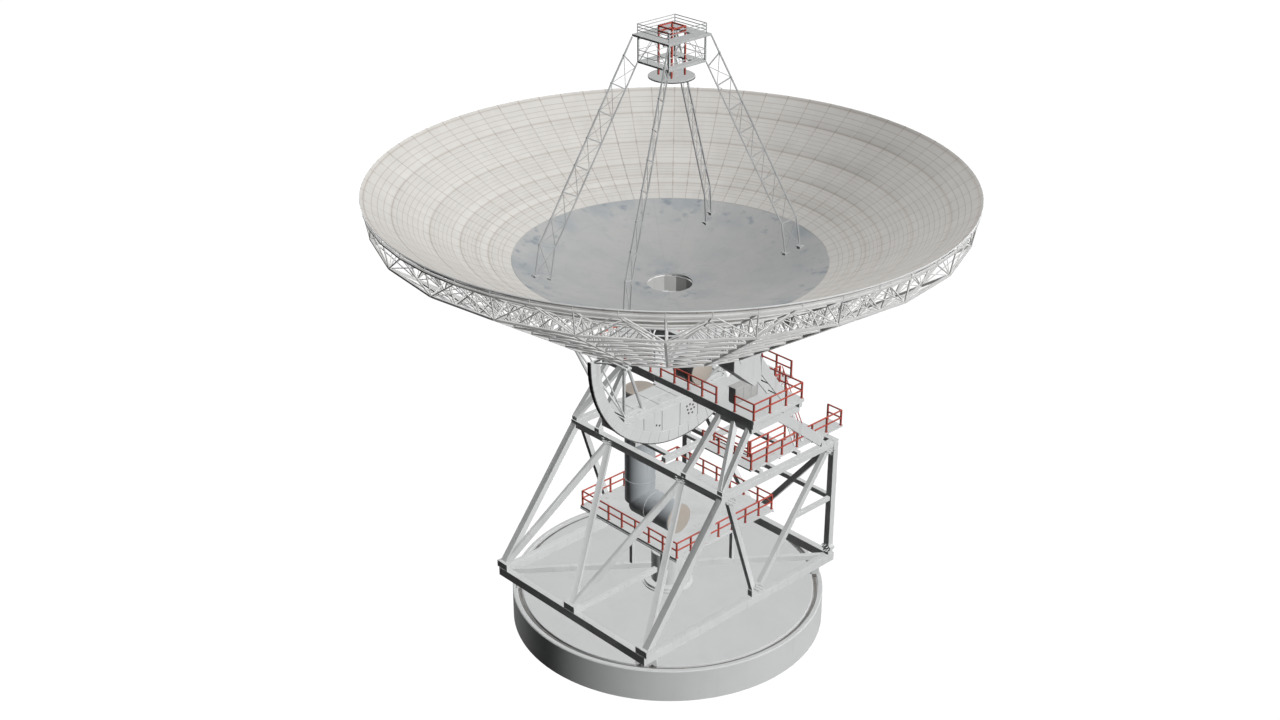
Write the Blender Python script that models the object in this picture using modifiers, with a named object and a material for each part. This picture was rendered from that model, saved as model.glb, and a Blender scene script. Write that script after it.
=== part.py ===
"""Beam-waveguide radio telescope dish: concrete pedestal, wheel-and-track alidade, tipping reflector.

Metres, +Z up. The origin is the centre of the pedestal at ground level. The elevation axis is
parallel to X, and the dish tips towards -Y.
"""
import math

import bmesh
import bpy
from mathutils import Matrix, Vector

# Driving dimensions ---------------------------------------------------------------------------
GAP = 0.0003                    # between touching pieces
RIM_RADIUS = 17.0
FOCAL_LENGTH = 11.8
VERTEX_Z = 21.98
DISC_RADIUS = 8.9               # solid inner plates
HOLE_RADIUS = 1.3
SHEET = 0.06                    # thickness of the reflecting panels
SECTORS = 6
MAIN_RIBS = 12

ELEVATION_Z = 19.35
WHEEL_RADIUS = 6.93
WHEEL_INNER = 6.18
WHEEL_FACE_X = 0.95
WEIGHT_BACK_X = -1.25
WEIGHT_TOP_Z = 15.0
WEIGHT_END_Y = 4.2

HUB_RING_RADIUS = 7.65
HUB_RING_Z = 20.5
OUTER_RING_RADIUS = 16.6
OUTER_RING_Z = 26.3

PEDESTAL_RADIUS = 9.51
PEDESTAL_HEIGHT = 2.08
TRACK_RADIUS = 9.06
BASE_X = 6.21
BASE_Y = 7.83
BASE_TOP = 3.51
BASE_BEAM = (0.42, 0.55)
UPPER_Z = 11.5
UPPER_FRONT_Y = -1.85
UPPER_BACK_Y = 7.7
UPPER_X = 6.2
DECK_Z = 15.5
TUBE_RADIUS = 0.97
TUBE_X = -2.47
LOWER_DECK_Z = 5.6

WHITE = (0.72, 0.73, 0.72)
GREY = (0.42, 0.42, 0.41)
PANEL = (0.70, 0.68, 0.64)
RED = (0.48, 0.10, 0.07)
CONCRETE = (0.50, 0.51, 0.50)
BEIGE = (0.55, 0.50, 0.45)

# Scene and helpers ----------------------------------------------------------------------------
for old in list(bpy.data.objects):
    bpy.data.objects.remove(old, do_unlink=True)

PARTS = bpy.data.collections.new("radio_telescope_dish")
bpy.context.scene.collection.children.link(PARTS)


def empty(name, location, parent=None):
    axis = bpy.data.objects.new(name, None)
    PARTS.objects.link(axis)
    axis.location = location
    if parent:
        axis.parent = parent
        axis.matrix_parent_inverse = Matrix.Translation(parent.location).inverted()
    return axis


AZIMUTH = empty("azimuth_axis", (0, 0, 0))
ELEVATION = empty("elevation_axis", (0, 0, ELEVATION_Z), AZIMUTH)


def material(name, colour, roughness, metallic):
    finish = bpy.data.materials.new(name + "_finish")
    finish.use_nodes = True
    shader = finish.node_tree.nodes["Principled BSDF"]
    shader.inputs["Base Color"].default_value = (*colour, 1)
    shader.inputs["Roughness"].default_value = roughness
    shader.inputs["Metallic"].default_value = metallic
    return finish


def place(name, mesh, axis, colour, roughness=0.5, metallic=0.0):
    """Make a part from a mesh given in world coordinates, with its origin on its body's axis."""
    part = bpy.data.objects.new(name, mesh)
    PARTS.objects.link(part)
    mesh.materials.clear()
    mesh.materials.append(material(name, colour, roughness, metallic))
    if axis is not None:
        centre = Vector((0, 0, ELEVATION_Z)) if axis is ELEVATION else Vector()
        mesh.transform(Matrix.Translation(-centre))
        part.parent = axis
    return part


def to_mesh(name, form):
    mesh = bpy.data.meshes.new(name)
    form.to_mesh(mesh)
    form.free()
    return mesh


def box(low, high):
    form = bmesh.new()
    bmesh.ops.create_cube(form, size=1)
    size = Vector(high) - Vector(low)
    middle = (Vector(high) + Vector(low)) / 2
    form.transform(Matrix.Translation(middle) @ Matrix.Diagonal((*size, 1)))
    return to_mesh("box", form)


def frame_along(start, end, up=(0, 0, 1)):
    """A matrix whose Z runs from start to end, whose Y leans towards up, and whose origin is start."""
    along = (Vector(end) - Vector(start)).normalized()
    side = Vector(up).cross(along)
    if side.length < 0.05:
        side = Vector((0, 1, 0)).cross(along)
    side.normalize()
    top = along.cross(side)
    turn = Matrix((side, top, along)).transposed().to_4x4()
    return Matrix.Translation(Vector(start)) @ turn


def bar(start, end, width, depth=None, up=(0, 0, 1)):
    form = bmesh.new()
    bmesh.ops.create_cube(form, size=1)
    length = (Vector(end) - Vector(start)).length
    stretch = Matrix.Diagonal((width, depth or width, length, 1))
    form.transform(frame_along(start, end, up) @ stretch @ Matrix.Translation((0, 0, 0.5)))
    return to_mesh("bar", form)


def rod(start, end, radius, sides=3):
    """A round or few-sided bar between two points."""
    form = bmesh.new()
    length = (Vector(end) - Vector(start)).length
    bmesh.ops.create_cone(form, cap_ends=True, segments=sides, radius1=radius, radius2=radius, depth=length)
    form.transform(frame_along(start, end) @ Matrix.Translation((0, 0, length / 2)))
    return to_mesh("rod", form)


def beyond(start, end, extra):
    """The two ends of a bar moved apart, so that it runs into what it meets."""
    along = (end - start).normalized() * extra
    return start - along, end + along


def bake(part):
    """The part's mesh with its modifiers applied, in world coordinates; the part itself is removed."""
    view = bpy.context.evaluated_depsgraph_get()
    view.update()
    mesh = bpy.data.meshes.new_from_object(part.evaluated_get(view))
    mesh.transform(part.matrix_world)
    bpy.data.objects.remove(part, do_unlink=True)
    return mesh


def loose(mesh):
    part = bpy.data.objects.new("loose", mesh)
    bpy.context.scene.collection.objects.link(part)
    return part


def boolean(mesh, other, operation, within=False):
    part = loose(mesh)
    tool = loose(other)
    step = part.modifiers.new("join", "BOOLEAN")
    step.operation = operation
    step.solver = "EXACT"
    step.use_self = within
    step.object = tool
    result = bake(part)
    bpy.data.objects.remove(tool, do_unlink=True)
    return result


def joined(meshes):
    form = bmesh.new()
    for mesh in meshes:
        form.from_mesh(mesh)
    return to_mesh("joined", form)


def fused(meshes):
    """One closed body from pieces that run into each other."""
    result = boolean(joined(meshes[:-1]), meshes[-1], "UNION", within=True)
    form = bmesh.new()
    form.from_mesh(result)
    bmesh.ops.remove_doubles(form, verts=form.verts, dist=0.00005)
    bmesh.ops.dissolve_degenerate(form, dist=0.00005, edges=form.edges)
    return to_mesh("fused", form)


def cut(mesh, *cutters):
    for cutter in cutters:
        mesh = boolean(mesh, cutter, "DIFFERENCE")
    return mesh


def turned(profile, steps, start=0.0, sweep=2 * math.pi, thickness=0.0):
    """A profile of (radius, z) points turned about Z; an open one becomes a shell of some thickness."""
    mesh = bpy.data.meshes.new("turned")
    points = [(r * math.cos(start), r * math.sin(start), z) for r, z in profile]
    closed = thickness == 0
    count = len(points)
    edges = [(i, i + 1) for i in range(count - 1)]
    if closed:
        edges.append((count - 1, 0))
    mesh.from_pydata(points, edges, [])
    part = loose(mesh)
    spin = part.modifiers.new("turn", "SCREW")
    spin.axis = "Z"
    spin.angle = sweep
    spin.steps = steps
    spin.render_steps = steps
    spin.use_smooth_shade = False
    full = abs(sweep - 2 * math.pi) < 1e-6
    spin.use_merge_vertices = full
    spin.merge_threshold = 0.0001
    if thickness:
        shell = part.modifiers.new("shell", "SOLIDIFY")
        shell.thickness = thickness
        shell.offset = -1
    return bake(part)


def facing_out(mesh):
    form = bmesh.new()
    form.from_mesh(mesh)
    bmesh.ops.recalc_face_normals(form, faces=form.faces)
    return to_mesh("out", form)


def polar(radius, angle, z):
    return Vector((radius * math.cos(angle), radius * math.sin(angle), z))


def surface_z(radius):
    return VERTEX_Z + radius * radius / (4 * FOCAL_LENGTH)


def mirrored(point, sx=1, sy=1):
    return Vector((point[0] * sx, point[1] * sy, point[2]))


# Pedestal -------------------------------------------------------------------------------------
def pedestal():
    curb = 9.22
    seat = 8.6
    groove = 1.85
    wall = [(seat, 0), (PEDESTAL_RADIUS, 0), (PEDESTAL_RADIUS, PEDESTAL_HEIGHT), (curb, PEDESTAL_HEIGHT),
            (curb, groove), (seat, groove)]
    place("pedestal_wall", facing_out(turned(wall, 48)), None, CONCRETE, 0.8)
    roof = [(0.7, groove + GAP), (8.93, groove + GAP), (8.93, 2.04), (0.7, 2.04)]
    place("pedestal_roof", facing_out(turned(roof, 48)), None, CONCRETE, 0.8)
    rail = [(8.95, groove + GAP), (9.19, groove + GAP), (9.19, 1.97), (8.95, 1.97)]
    place("azimuth_track", facing_out(turned(rail, 48)), None, GREY, 0.4, 0.8)
    collar = [(0.72, 2.04 + GAP), (1.55, 2.04 + GAP), (1.45, 2.3), (0.72, 2.3)]
    place("azimuth_collar", facing_out(turned(collar, 24)), None, WHITE)


# Alidade --------------------------------------------------------------------------------------
def base():
    """The rectangular base frame, its diagonals and the drum that turns on the centre bearing."""
    width, depth = BASE_BEAM
    middle = BASE_TOP - depth / 2
    low = BASE_TOP - depth
    half = width / 2
    pieces = []
    for side in (-1, 1):
        y = side * BASE_Y
        pieces.append(box((-BASE_X - half, y - half, low), (BASE_X + half, y + half, BASE_TOP)))
        x = side * (BASE_X + 0.01)
        pieces.append(box((x - half, -BASE_Y, low + 0.01), (x + half, BASE_Y, BASE_TOP - 0.01)))
    for sx in (-1, 1):
        for sy in (-1, 1):
            pieces.append(bar((0.1 * sx, 0.13 * sy, middle), (sx * BASE_X, sy * BASE_Y, middle), 0.28, 0.34))
            truck(sx, sy)
    for sy in (-1, 1):
        pieces.append(bar((0, 0.2 * sy, middle + 0.013), (0, sy * BASE_Y, middle + 0.013), 0.26, 0.31))
    pieces.append(rod((0, 0, 2.306), (0, 0, 4.3), 1.02, 24))
    place("base_frame", fused(pieces), AZIMUTH, WHITE)


def truck(sx, sy):
    """A two-wheel bogie under a corner, standing on the track and turned along it."""
    angle = math.atan2(sy * 7.1, sx * 5.63)
    turn = Matrix.Rotation(angle, 4, "Z") @ Matrix.Translation((TRACK_RADIUS, 0, 0))
    low = BASE_TOP - BASE_BEAM[1]
    body = box((-0.26, -0.62, 2.30), (0.26, 0.62, low - GAP))
    wheels = []
    for side in (-0.36, 0.36):
        wheel = rod((-0.10, side, 1.97 + 0.006 + 0.24), (0.10, side, 1.97 + 0.006 + 0.24), 0.24, 16)
        wheels.append(wheel)
    mesh = fused([body] + wheels)
    mesh.transform(turn)
    name = "wheel_truck_%s_%s" % ("front" if sy < 0 else "back", "left" if sx < 0 else "right")
    place(name, mesh, AZIMUTH, WHITE)


def side_faces():
    """The sloping front truss, the upright back truss and the two side trusses."""
    foot = BASE_TOP + 0.3
    web = 0.34
    chord_z = UPPER_Z - 0.22
    chord_x = UPPER_X + 0.2
    front = [bar((-chord_x, UPPER_FRONT_Y, chord_z), (chord_x, UPPER_FRONT_Y, chord_z), 0.40, 0.44)]
    base_points = [(-BASE_X + 0.02, 0), (0.0, 0), (BASE_X - 0.02, 0)]
    tops = [(-UPPER_X, UPPER_Z - 0.3), (-3.15, UPPER_Z - 0.3), (3.1, UPPER_Z - 0.3), (UPPER_X, UPPER_Z - 0.3)]
    webs = [(0, 0, 0.42), (0, 1, web), (1, 1, web), (1, 2, web), (2, 2, web), (2, 3, 0.42)]
    for low, high, size in webs:
        start = Vector((base_points[low][0] + 0.13 * (high - low) - 0.06, -BASE_Y + 0.16, foot))
        end = Vector((tops[high][0], UPPER_FRONT_Y, tops[high][1]))
        front.append(bar(start, end, size, size))
    for x in (-BASE_X + 0.08, 0.0, BASE_X - 0.08):
        front.append(box((x - 0.45, -BASE_Y - 0.2, BASE_TOP + GAP), (x + 0.45, -BASE_Y + 0.4, BASE_TOP + 0.42)))
    place("front_truss", fused(front), AZIMUTH, WHITE)

    back = [bar((-chord_x, UPPER_BACK_Y, chord_z), (chord_x, UPPER_BACK_Y, chord_z), 0.40, 0.44)]
    for sx in (-1, 1):
        back.append(bar((sx * UPPER_X, UPPER_BACK_Y, BASE_TOP + GAP), (sx * UPPER_X, UPPER_BACK_Y, UPPER_Z - 0.1),
                        0.41, 0.39, (0, 1, 0)))
        back.append(bar((sx * 0.12, UPPER_BACK_Y + 0.01, foot), (sx * UPPER_X, UPPER_BACK_Y + 0.01, UPPER_Z - 0.3),
                        web, web))
    back.append(box((-0.45, UPPER_BACK_Y - 0.18, BASE_TOP + GAP), (0.45, UPPER_BACK_Y + 0.19, BASE_TOP + 0.42)))
    back.append(bar((-UPPER_X, UPPER_BACK_Y + 0.005, 7.5), (UPPER_X, UPPER_BACK_Y + 0.005, 7.5), 0.28, 0.30))
    place("back_truss", fused(back), AZIMUTH, WHITE)

    for sx, name in ((-1, "left"), (1, "right")):
        x = sx * UPPER_X
        low_y = UPPER_FRONT_Y + 0.2 + GAP
        high_y = UPPER_BACK_Y - 0.2 - GAP
        side = [bar((x, low_y, UPPER_Z - 0.2), (x, high_y, UPPER_Z - 0.2), 0.38, 0.40)]
        side.append(bar((x, 1.4, foot), (x, high_y - 0.28, UPPER_Z - 0.3), 0.32))
        side.append(bar((x, 1.0, foot), (x, low_y + 0.25, UPPER_Z - 0.3), 0.32))
        side.append(bar((x + 0.006, 4.35, 7.5), (x + 0.006, high_y, 7.5), 0.26))
        side.append(box((x - 0.18, 0.75, BASE_TOP + GAP), (x + 0.18, 1.75, BASE_TOP + 0.42)))
        place("side_truss_" + name, fused(side), AZIMUTH, WHITE)


def towers():
    """Struts that carry the bearing level on each side of the wheel."""
    seat = UPPER_Z + GAP
    low = seat + 0.2
    top = DECK_Z - 0.75
    front_y = 0.6
    girder_y = 2.9
    for sx, name, inner_low, inner_top in ((-1, "left", 4.1, 4.4), (1, "right", 3.3, 3.6)):
        struts = [((inner_low, UPPER_FRONT_Y, low), (inner_top, front_y, top), 0.36),
                  ((6.15, UPPER_FRONT_Y, low), (4.75, front_y, top), 0.33),
                  ((6.2, UPPER_FRONT_Y, low), (5.9, front_y, top), 0.32),
                  ((6.17, 6.5, low + 0.12), (6.1, girder_y, top), 0.6)]
        pieces = [bar((sx * 6.1, 0.4, top), (sx * 6.1, 4.4, top), 0.34, 0.36),
                  bar((sx * (inner_top - 0.2), front_y, top - 0.01), (sx * 6.1, front_y, top - 0.01), 0.32, 0.34)]
        for start, end, width in struts:
            pieces.append(bar(mirrored(start, sx), mirrored(end, sx), 0.31, width, (0, 1, 0)))
        for x, y in ((inner_low, UPPER_FRONT_Y), (6.17, UPPER_FRONT_Y + 0.05), (6.17, 6.6)):
            pieces.append(box((sx * x - 0.2, y - 0.19, seat), (sx * x + 0.2, y + 0.19, seat + 0.25)))
        place("tower_" + name, fused(pieces), AZIMUTH, WHITE)


def decks():
    beam_low = DECK_Z - 0.75 + 0.18 + GAP
    sheet = 0.08
    notch_x = 1.6
    notch_y = 1.8
    shallow_low = 15.06
    step_x = 4.2
    back_y = 4.5
    far_y = 6.1
    edge_x = 6.45
    right = [box((-notch_x, 0.35, shallow_low), (notch_x + 0.1, 0.64, DECK_Z - 0.01)),
             box((notch_x, 0.35, beam_low), (edge_x - 0.05, 0.65, DECK_Z - 0.02)),
             box((notch_x, back_y - 0.3, beam_low + 0.01), (edge_x - 0.05, back_y - 0.05, DECK_Z - 0.03)),
             box((notch_x, 0.3, DECK_Z - sheet), (edge_x, back_y, DECK_Z)),
             box((notch_x + 0.01, back_y - 0.1, DECK_Z - sheet + 0.002), (step_x, far_y, DECK_Z - 0.002)),
             box((-notch_x + 0.005, 0.31, DECK_Z - sheet + 0.003), (notch_x + 0.1, notch_y, DECK_Z - 0.003))]
    place("top_deck_right", fused(right), AZIMUTH, WHITE)
    left = [box((-edge_x + 0.05, 0.35, beam_low), (-notch_x - 0.005, 0.65, DECK_Z - 0.02)),
            box((-edge_x + 0.05, back_y - 0.3, beam_low + 0.01), (-notch_x - 0.05, back_y - 0.05, DECK_Z - 0.03)),
            box((-step_x, back_y - 0.1, DECK_Z - sheet + 0.002), (-notch_x - 0.01, far_y, DECK_Z - 0.002)),
            box((-edge_x, 0.3, DECK_Z - sheet), (-notch_x - 0.001, back_y, DECK_Z))]
    place("top_deck_left", fused(left), AZIMUTH, WHITE)
    low = LOWER_DECK_Z
    lower = [box((-5.85, -1.9, low - 0.16), (2.7, 6.5, low))]
    for x, y in ((-1.35, -1.70), (1.35, -1.70), (2.45, 3.09), (-4.85, 6.12)):
        lower.append(box((x - 0.12, y - 0.12, 3.42), (x + 0.12, y + 0.12, low - 0.1)))
    place("lower_deck", fused(lower), AZIMUTH, WHITE)
    walk = UPPER_Z + 0.35
    upper = [box((4.6, 0.9, walk - 0.1), (5.85, 8.9, walk)),
             box((1.75, 0.91, walk - 0.099), (4.7, 2.0, walk - 0.001)),
             box((5.1, 7.1, UPPER_Z + GAP), (5.3, 8.8, walk - 0.05))]
    place("upper_walk", fused(upper), AZIMUTH, WHITE)


def railing(name, corners, z, spacing=3.0):
    """Posts with a top rail along (x, y) corners; the knee rail is left to the finishing."""
    bars = []
    posts = [corners[0]]
    for (ax, ay), (bx, by) in zip(corners, corners[1:]):
        start = Vector((ax, ay, z + 1.0))
        end = Vector((bx, by, z + 1.0))
        bars.append(bar(*beyond(start, end, 0.03), 0.07))
        count = max(1, round((end - start).length / spacing))
        for step in range(1, count + 1):
            share = step / count
            posts.append((ax + (bx - ax) * share, ay + (by - ay) * share))
    for x, y in posts:
        bars.append(box((x - 0.04, y - 0.04, z + GAP), (x + 0.04, y + 0.04, z + 1.01)))
    place(name, fused(bars), AZIMUTH, RED)


def railings():
    railing("top_rail_right", [(-1.5, 0.4), (6.35, 0.4), (6.35, 4.4), (4.1, 4.4), (4.1, 6.0), (1.75, 6.0)], DECK_Z)
    railing("top_rail_left", [(-1.7, 0.4), (-6.35, 0.4), (-6.35, 4.4), (-4.1, 4.4), (-4.1, 6.0), (-1.75, 6.0)],
            DECK_Z)
    railing("lower_rail", [(2.6, 6.4), (2.6, -1.8), (-5.75, -1.8), (-5.75, 6.4)], LOWER_DECK_Z)
    railing("walk_rail", [(1.85, 1.0), (5.75, 1.0), (5.75, 8.8), (4.7, 8.8)], UPPER_Z + 0.35)


def machinery():
    """Drive girder under the wheel, bearing pedestals, waveguide and housings."""
    inner_x = 1.1
    outer_x = 1.45
    side_x = UPPER_X - 0.19 - GAP
    low = UPPER_Z + 0.02
    girder = []
    for sx in (-1, 1):
        near_x, far_x = sorted((sx * inner_x, sx * outer_x))
        girder.append(box((near_x, -1.65, low), (far_x, 7.9, low + 0.3)))
    for y, reach in ((-1.0, inner_x + 0.1), (1.5, side_x + 0.1), (4.7, side_x + 0.1)):
        girder.append(box((-reach, y - 0.15, low + 0.03), (reach, y + 0.15, low + 0.22)))
    place("drive_girder", fused(girder), AZIMUTH, WHITE)
    for sx, name in ((-1, "left"), (1, "right")):
        seat = DECK_Z + GAP - ELEVATION_Z
        support = [(-0.75, -0.62), (0.97, -2.1), (1.5, -1.6), (3.3, seat), (3.95, seat), (1.35, -0.1), (0.75, 0.6),
                   (-0.75, 0.6)]
        low_x, high_x = sorted((sx * 4.62, sx * 5.9))
        bore = rod((sx * 4, 0, ELEVATION_Z), (sx * 6.5, 0, ELEVATION_Z), 0.36, 24)
        place("bearing_" + name, cut(plate_yz(support, low_x, high_x), bore), AZIMUTH, WHITE)
    tube_z = 6.8
    upright = rod((TUBE_X, 0, tube_z), (TUBE_X, 0, 14.3), TUBE_RADIUS, 20)
    level = rod((TUBE_X, 0, tube_z), (0.9, 0, tube_z), TUBE_RADIUS - 0.004, 20)
    place("waveguide_tube", fused([upright, level]), AZIMUTH, WHITE)
    mirror = rod((0.9 + GAP, 0, tube_z), (0.95, 0, tube_z), 0.95, 24)
    place("level_mirror", mirror, AZIMUTH, BEIGE)
    place("top_mirror", rod((TUBE_X, -0.02, 14.301), (TUBE_X, -0.02, 14.39), 0.95, 24), AZIMUTH, BEIGE)
    place("beam_drum", rod((-0.3, 1.42, DECK_Z + 0.88), (1.3, 1.42, DECK_Z + 0.88), 0.86, 24), AZIMUTH, GREY)
    for sx, name in ((-1, "left"), (1, "right")):
        near_x, far_x = sorted((sx * 3.84, sx * 4.43))
        cabinet = box((near_x, 0.95, DECK_Z + GAP), (far_x, 2.87, DECK_Z + 1.05))
        place("deck_cabinet_" + name, cabinet, AZIMUTH, GREY)


# Reflector ------------------------------------------------------------------------------------
def dish_profile(inner, outer, count, drop=0.0):
    step = (outer - inner) / count
    return [(inner + step * i, surface_z(inner + step * i) - drop) for i in range(count + 1)]


def dish_surface():
    slit = 0.0006
    span = 2 * math.pi / SECTORS
    for index in range(SECTORS):
        start = (index - 0.5) * span + slit
        profile = dish_profile(DISC_RADIUS + 0.012, RIM_RADIUS - 0.55 * SHEET, 3)
        shell = turned(profile, 8, start, span - 2 * slit, SHEET)
        place("outer_panels_%d" % (index + 1), facing_out(shell), ELEVATION, PANEL, 0.6)
    for index in range(2):
        start = (index - 0.5) * math.pi + slit
        shell = turned(dish_profile(HOLE_RADIUS, DISC_RADIUS, 3), 24, start, math.pi - 2 * slit, 0.10)
        place("inner_panels_%d" % (index + 1), facing_out(shell), ELEVATION, GREY, 0.6)
    tube = [(HOLE_RADIUS + 0.02, 20.97), (HOLE_RADIUS + 0.08, 20.97), (HOLE_RADIUS + 0.08, 21.85),
            (HOLE_RADIUS + 0.02, 21.85)]
    place("centre_tube", facing_out(turned(tube, 24)), ELEVATION, WHITE)


def back_structure():
    """The main ribs and rings behind the panels, one lattice to a sector."""
    span = 2 * math.pi / SECTORS
    pitch = 2 * math.pi / MAIN_RIBS
    depth = 0.32

    def upper(radius, angle):
        return polar(radius, angle, surface_z(radius) - depth)

    def lower(radius, angle):
        share = (radius - HUB_RING_RADIUS) / (OUTER_RING_RADIUS - HUB_RING_RADIUS)
        return polar(radius, angle, HUB_RING_Z + share * (OUTER_RING_Z - HUB_RING_Z))

    middle = 12.0
    for index in range(SECTORS):
        bars = []
        angles = [index * span - pitch / 2, index * span + pitch / 2]
        for angle in angles:
            for a, b, size in ((8.1, 12.4, 0.14), (12.4, 16.8, 0.125)):
                bars.append(bar(*beyond(upper(a, angle), upper(b, angle), 0.07), size))
            bars.append(bar(*beyond(lower(HUB_RING_RADIUS, angle), lower(OUTER_RING_RADIUS, angle), 0.06), 0.16))
            webs = [(lower(HUB_RING_RADIUS + 0.14, angle), upper(8.25, angle)),
                    (upper(8.6, angle), lower(middle - 0.19, angle)),
                    (lower(middle + 0.17, angle), upper(14.6, angle)),
                    (lower(OUTER_RING_RADIUS - 0.11, angle), upper(16.63, angle))]
            for a, b in webs:
                bars.append(rod(*beyond(a, b, -0.012), 0.066, 3))
        for radius, size in ((HUB_RING_RADIUS, 0.13), (middle, 0.09), (OUTER_RING_RADIUS, 0.12)):
            ends = beyond(lower(radius, angles[0]), lower(radius, angles[1]), 0.05)
            bars.append(bar(*ends, size))
        place("back_structure_%d" % (index + 1), fused(bars), ELEVATION, WHITE)


def hub():
    low = HUB_RING_Z - 0.1
    high = 21.3
    beams = []
    for x in (-4.6, 4.6):
        beams.append(box((x - 0.2, -5.6, low), (x + 0.2, 5.6, high)))
    for x in (-1.15, 1.15):
        beams.append(box((x - 0.18, -7.2, low + 0.02), (x + 0.18, 7.2, high - 0.35)))
    for y in (-3.2, 3.2):
        beams.append(box((-6.6, y - 0.2, low + 0.04), (6.6, y + 0.2, high - 0.04)))
    for sx in (-1, 1):
        beams.append(box((sx * 4.25 - 0.25, -0.7, ELEVATION_Z - 0.45), (sx * 4.25 + 0.25, 0.7, high - 0.02)))
        beams.append(rod((sx * 4.1, 0, ELEVATION_Z), (sx * 5.9, 0, ELEVATION_Z), 0.35, 24))
    place("hub_frame", fused(beams), ELEVATION, WHITE)


def wheel():
    arc = []
    start = math.radians(178)
    end = math.radians(318)
    count = 28
    for radius, sweep in ((WHEEL_RADIUS, range(count + 1)), (WHEEL_INNER, range(count, -1, -1))):
        for step in sweep:
            angle = start + (end - start) * step / count
            arc.append((radius * math.cos(angle), radius * math.sin(angle)))
    place("elevation_wheel", plate_yz(arc, WHEEL_FACE_X - 0.25, WHEEL_FACE_X), ELEVATION, WHITE)
    top = WEIGHT_TOP_Z - ELEVATION_Z
    radius = WHEEL_RADIUS - 0.03
    reach = math.asin(WEIGHT_END_Y / radius)
    outline = [(WEIGHT_END_Y, top), (-WEIGHT_END_Y, top)]
    for step in range(17):
        angle = -math.pi / 2 - reach + 2 * reach * step / 16
        outline.append((radius * math.cos(angle), radius * math.sin(angle)))
    place("counterweight", plate_yz(outline, WEIGHT_BACK_X, WHEEL_FACE_X - 0.25 - GAP), ELEVATION, WHITE)


def plate_yz(outline, x_low, x_high):
    """A flat outline of (y, z about the elevation axis) given thickness along X."""
    curve = bpy.data.curves.new("outline", "CURVE")
    curve.dimensions = "2D"
    curve.fill_mode = "BOTH"
    curve.extrude = (x_high - x_low) / 2
    line = curve.splines.new("POLY")
    line.points.add(len(outline) - 1)
    for point, (y, z) in zip(line.points, outline):
        point.co = (y, z, 0, 1)
    line.use_cyclic_u = True
    part = bpy.data.objects.new("outline", curve)
    bpy.context.scene.collection.objects.link(part)
    part.matrix_world = Matrix(((0, 0, 1, (x_low + x_high) / 2), (1, 0, 0, 0), (0, 1, 0, ELEVATION_Z),
                                (0, 0, 0, 1)))
    mesh = bake(part)
    form = bmesh.new()
    form.from_mesh(mesh)
    bmesh.ops.remove_doubles(form, verts=form.verts, dist=0.0001)
    bmesh.ops.recalc_face_normals(form, faces=form.faces)
    return to_mesh("plate", form)


def yoke():
    """The frame that ties the wheel and counterweight to the hub."""
    seat = WEIGHT_TOP_Z + GAP
    head = HUB_RING_Z - 0.2
    near_x = 0.45
    far_x = -1.1
    rail_x = WEIGHT_BACK_X - GAP
    end_y = WEIGHT_END_Y - 0.2
    pieces = [box((rail_x - 0.2, -end_y - 0.2, 14.6), (rail_x, end_y + 0.2, 14.85))]
    for sy in (-1, 1):
        pieces += [box((rail_x - 0.19, sy * end_y - 0.19, 14.61), (rail_x - 0.01, sy * end_y + 0.19, seat + 0.22)),
                   box((rail_x - 0.18, sy * end_y - 0.2, seat), (near_x + 0.2, sy * end_y + 0.2, seat + 0.23)),
                   box((near_x - 0.1, min(sy * 2.5, sy * end_y), seat + 0.01),
                       (near_x + 0.1, max(sy * 2.5, sy * end_y), seat + 0.2)),
                   bar((3.55, sy * 6.6, head), (near_x, sy * 2.6, seat + 0.12), 0.2),
                   bar((3.35, sy * 6.65, head + 0.01), (near_x + 0.01, sy * end_y, seat + 0.13), 0.19),
                   bar((far_x, sy * 6.6, head), (far_x, sy * end_y, seat + 0.12), 0.2),
                   box((-1.33, sy * 6.6 - 0.2, head - 0.15), (3.65, sy * 6.6 + 0.2, HUB_RING_Z - 0.1 - GAP))]
    pieces.append(box((0.73, -6.72, 19.61), (0.92, -6.48, HUB_RING_Z - 0.2)))
    place("wheel_yoke", fused(pieces), ELEVATION, WHITE)


def legs():
    """Four flat trusses from the inner plates up to the apex, each on two short upright feet."""
    outer_line = (Vector((3.57, 6.88, 23.44)), Vector((3.46, 6.64, 25.14)), Vector((1.37, 1.62, 36.2)))
    inner_line = (Vector((3.20, 6.07, 23.19)), Vector((3.09, 5.82, 24.86)), Vector((1.2, 1.42, 34.74)))
    chord = 0.13
    plinth = Vector((0, 0, 0.02))
    bays = 8
    for sx in (-1, 1):
        for sy in (-1, 1):
            outer_foot, outer_knee, outer_top = [mirrored(point, sx, sy) for point in outer_line]
            inner_foot, inner_knee, inner_top = [mirrored(point, sx, sy) for point in inner_line]
            pieces = [bar(outer_knee, outer_top, chord), bar(inner_knee, inner_top, chord),
                      bar(*beyond(outer_foot, outer_knee, 0.03), chord - 0.01),
                      bar(*beyond(inner_foot, inner_knee, 0.03), chord - 0.01),
                      bar(*beyond(inner_foot - plinth, outer_foot - plinth, 0.10), 0.26, 0.14)]
            nodes = []
            for step in range(bays):
                share = (step + 0.15) / bays
                nodes.append(inner_knee.lerp(inner_top, share))
                nodes.append(outer_knee.lerp(outer_top, share + 0.5 / bays))
            for start, end in zip(nodes, nodes[1:]):
                pieces.append(rod(start, end, 0.045, 3))
            name = "leg_%s_%s" % ("front" if sy < 0 else "back", "left" if sx < 0 else "right")
            place(name, fused(pieces), ELEVATION, WHITE)


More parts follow.
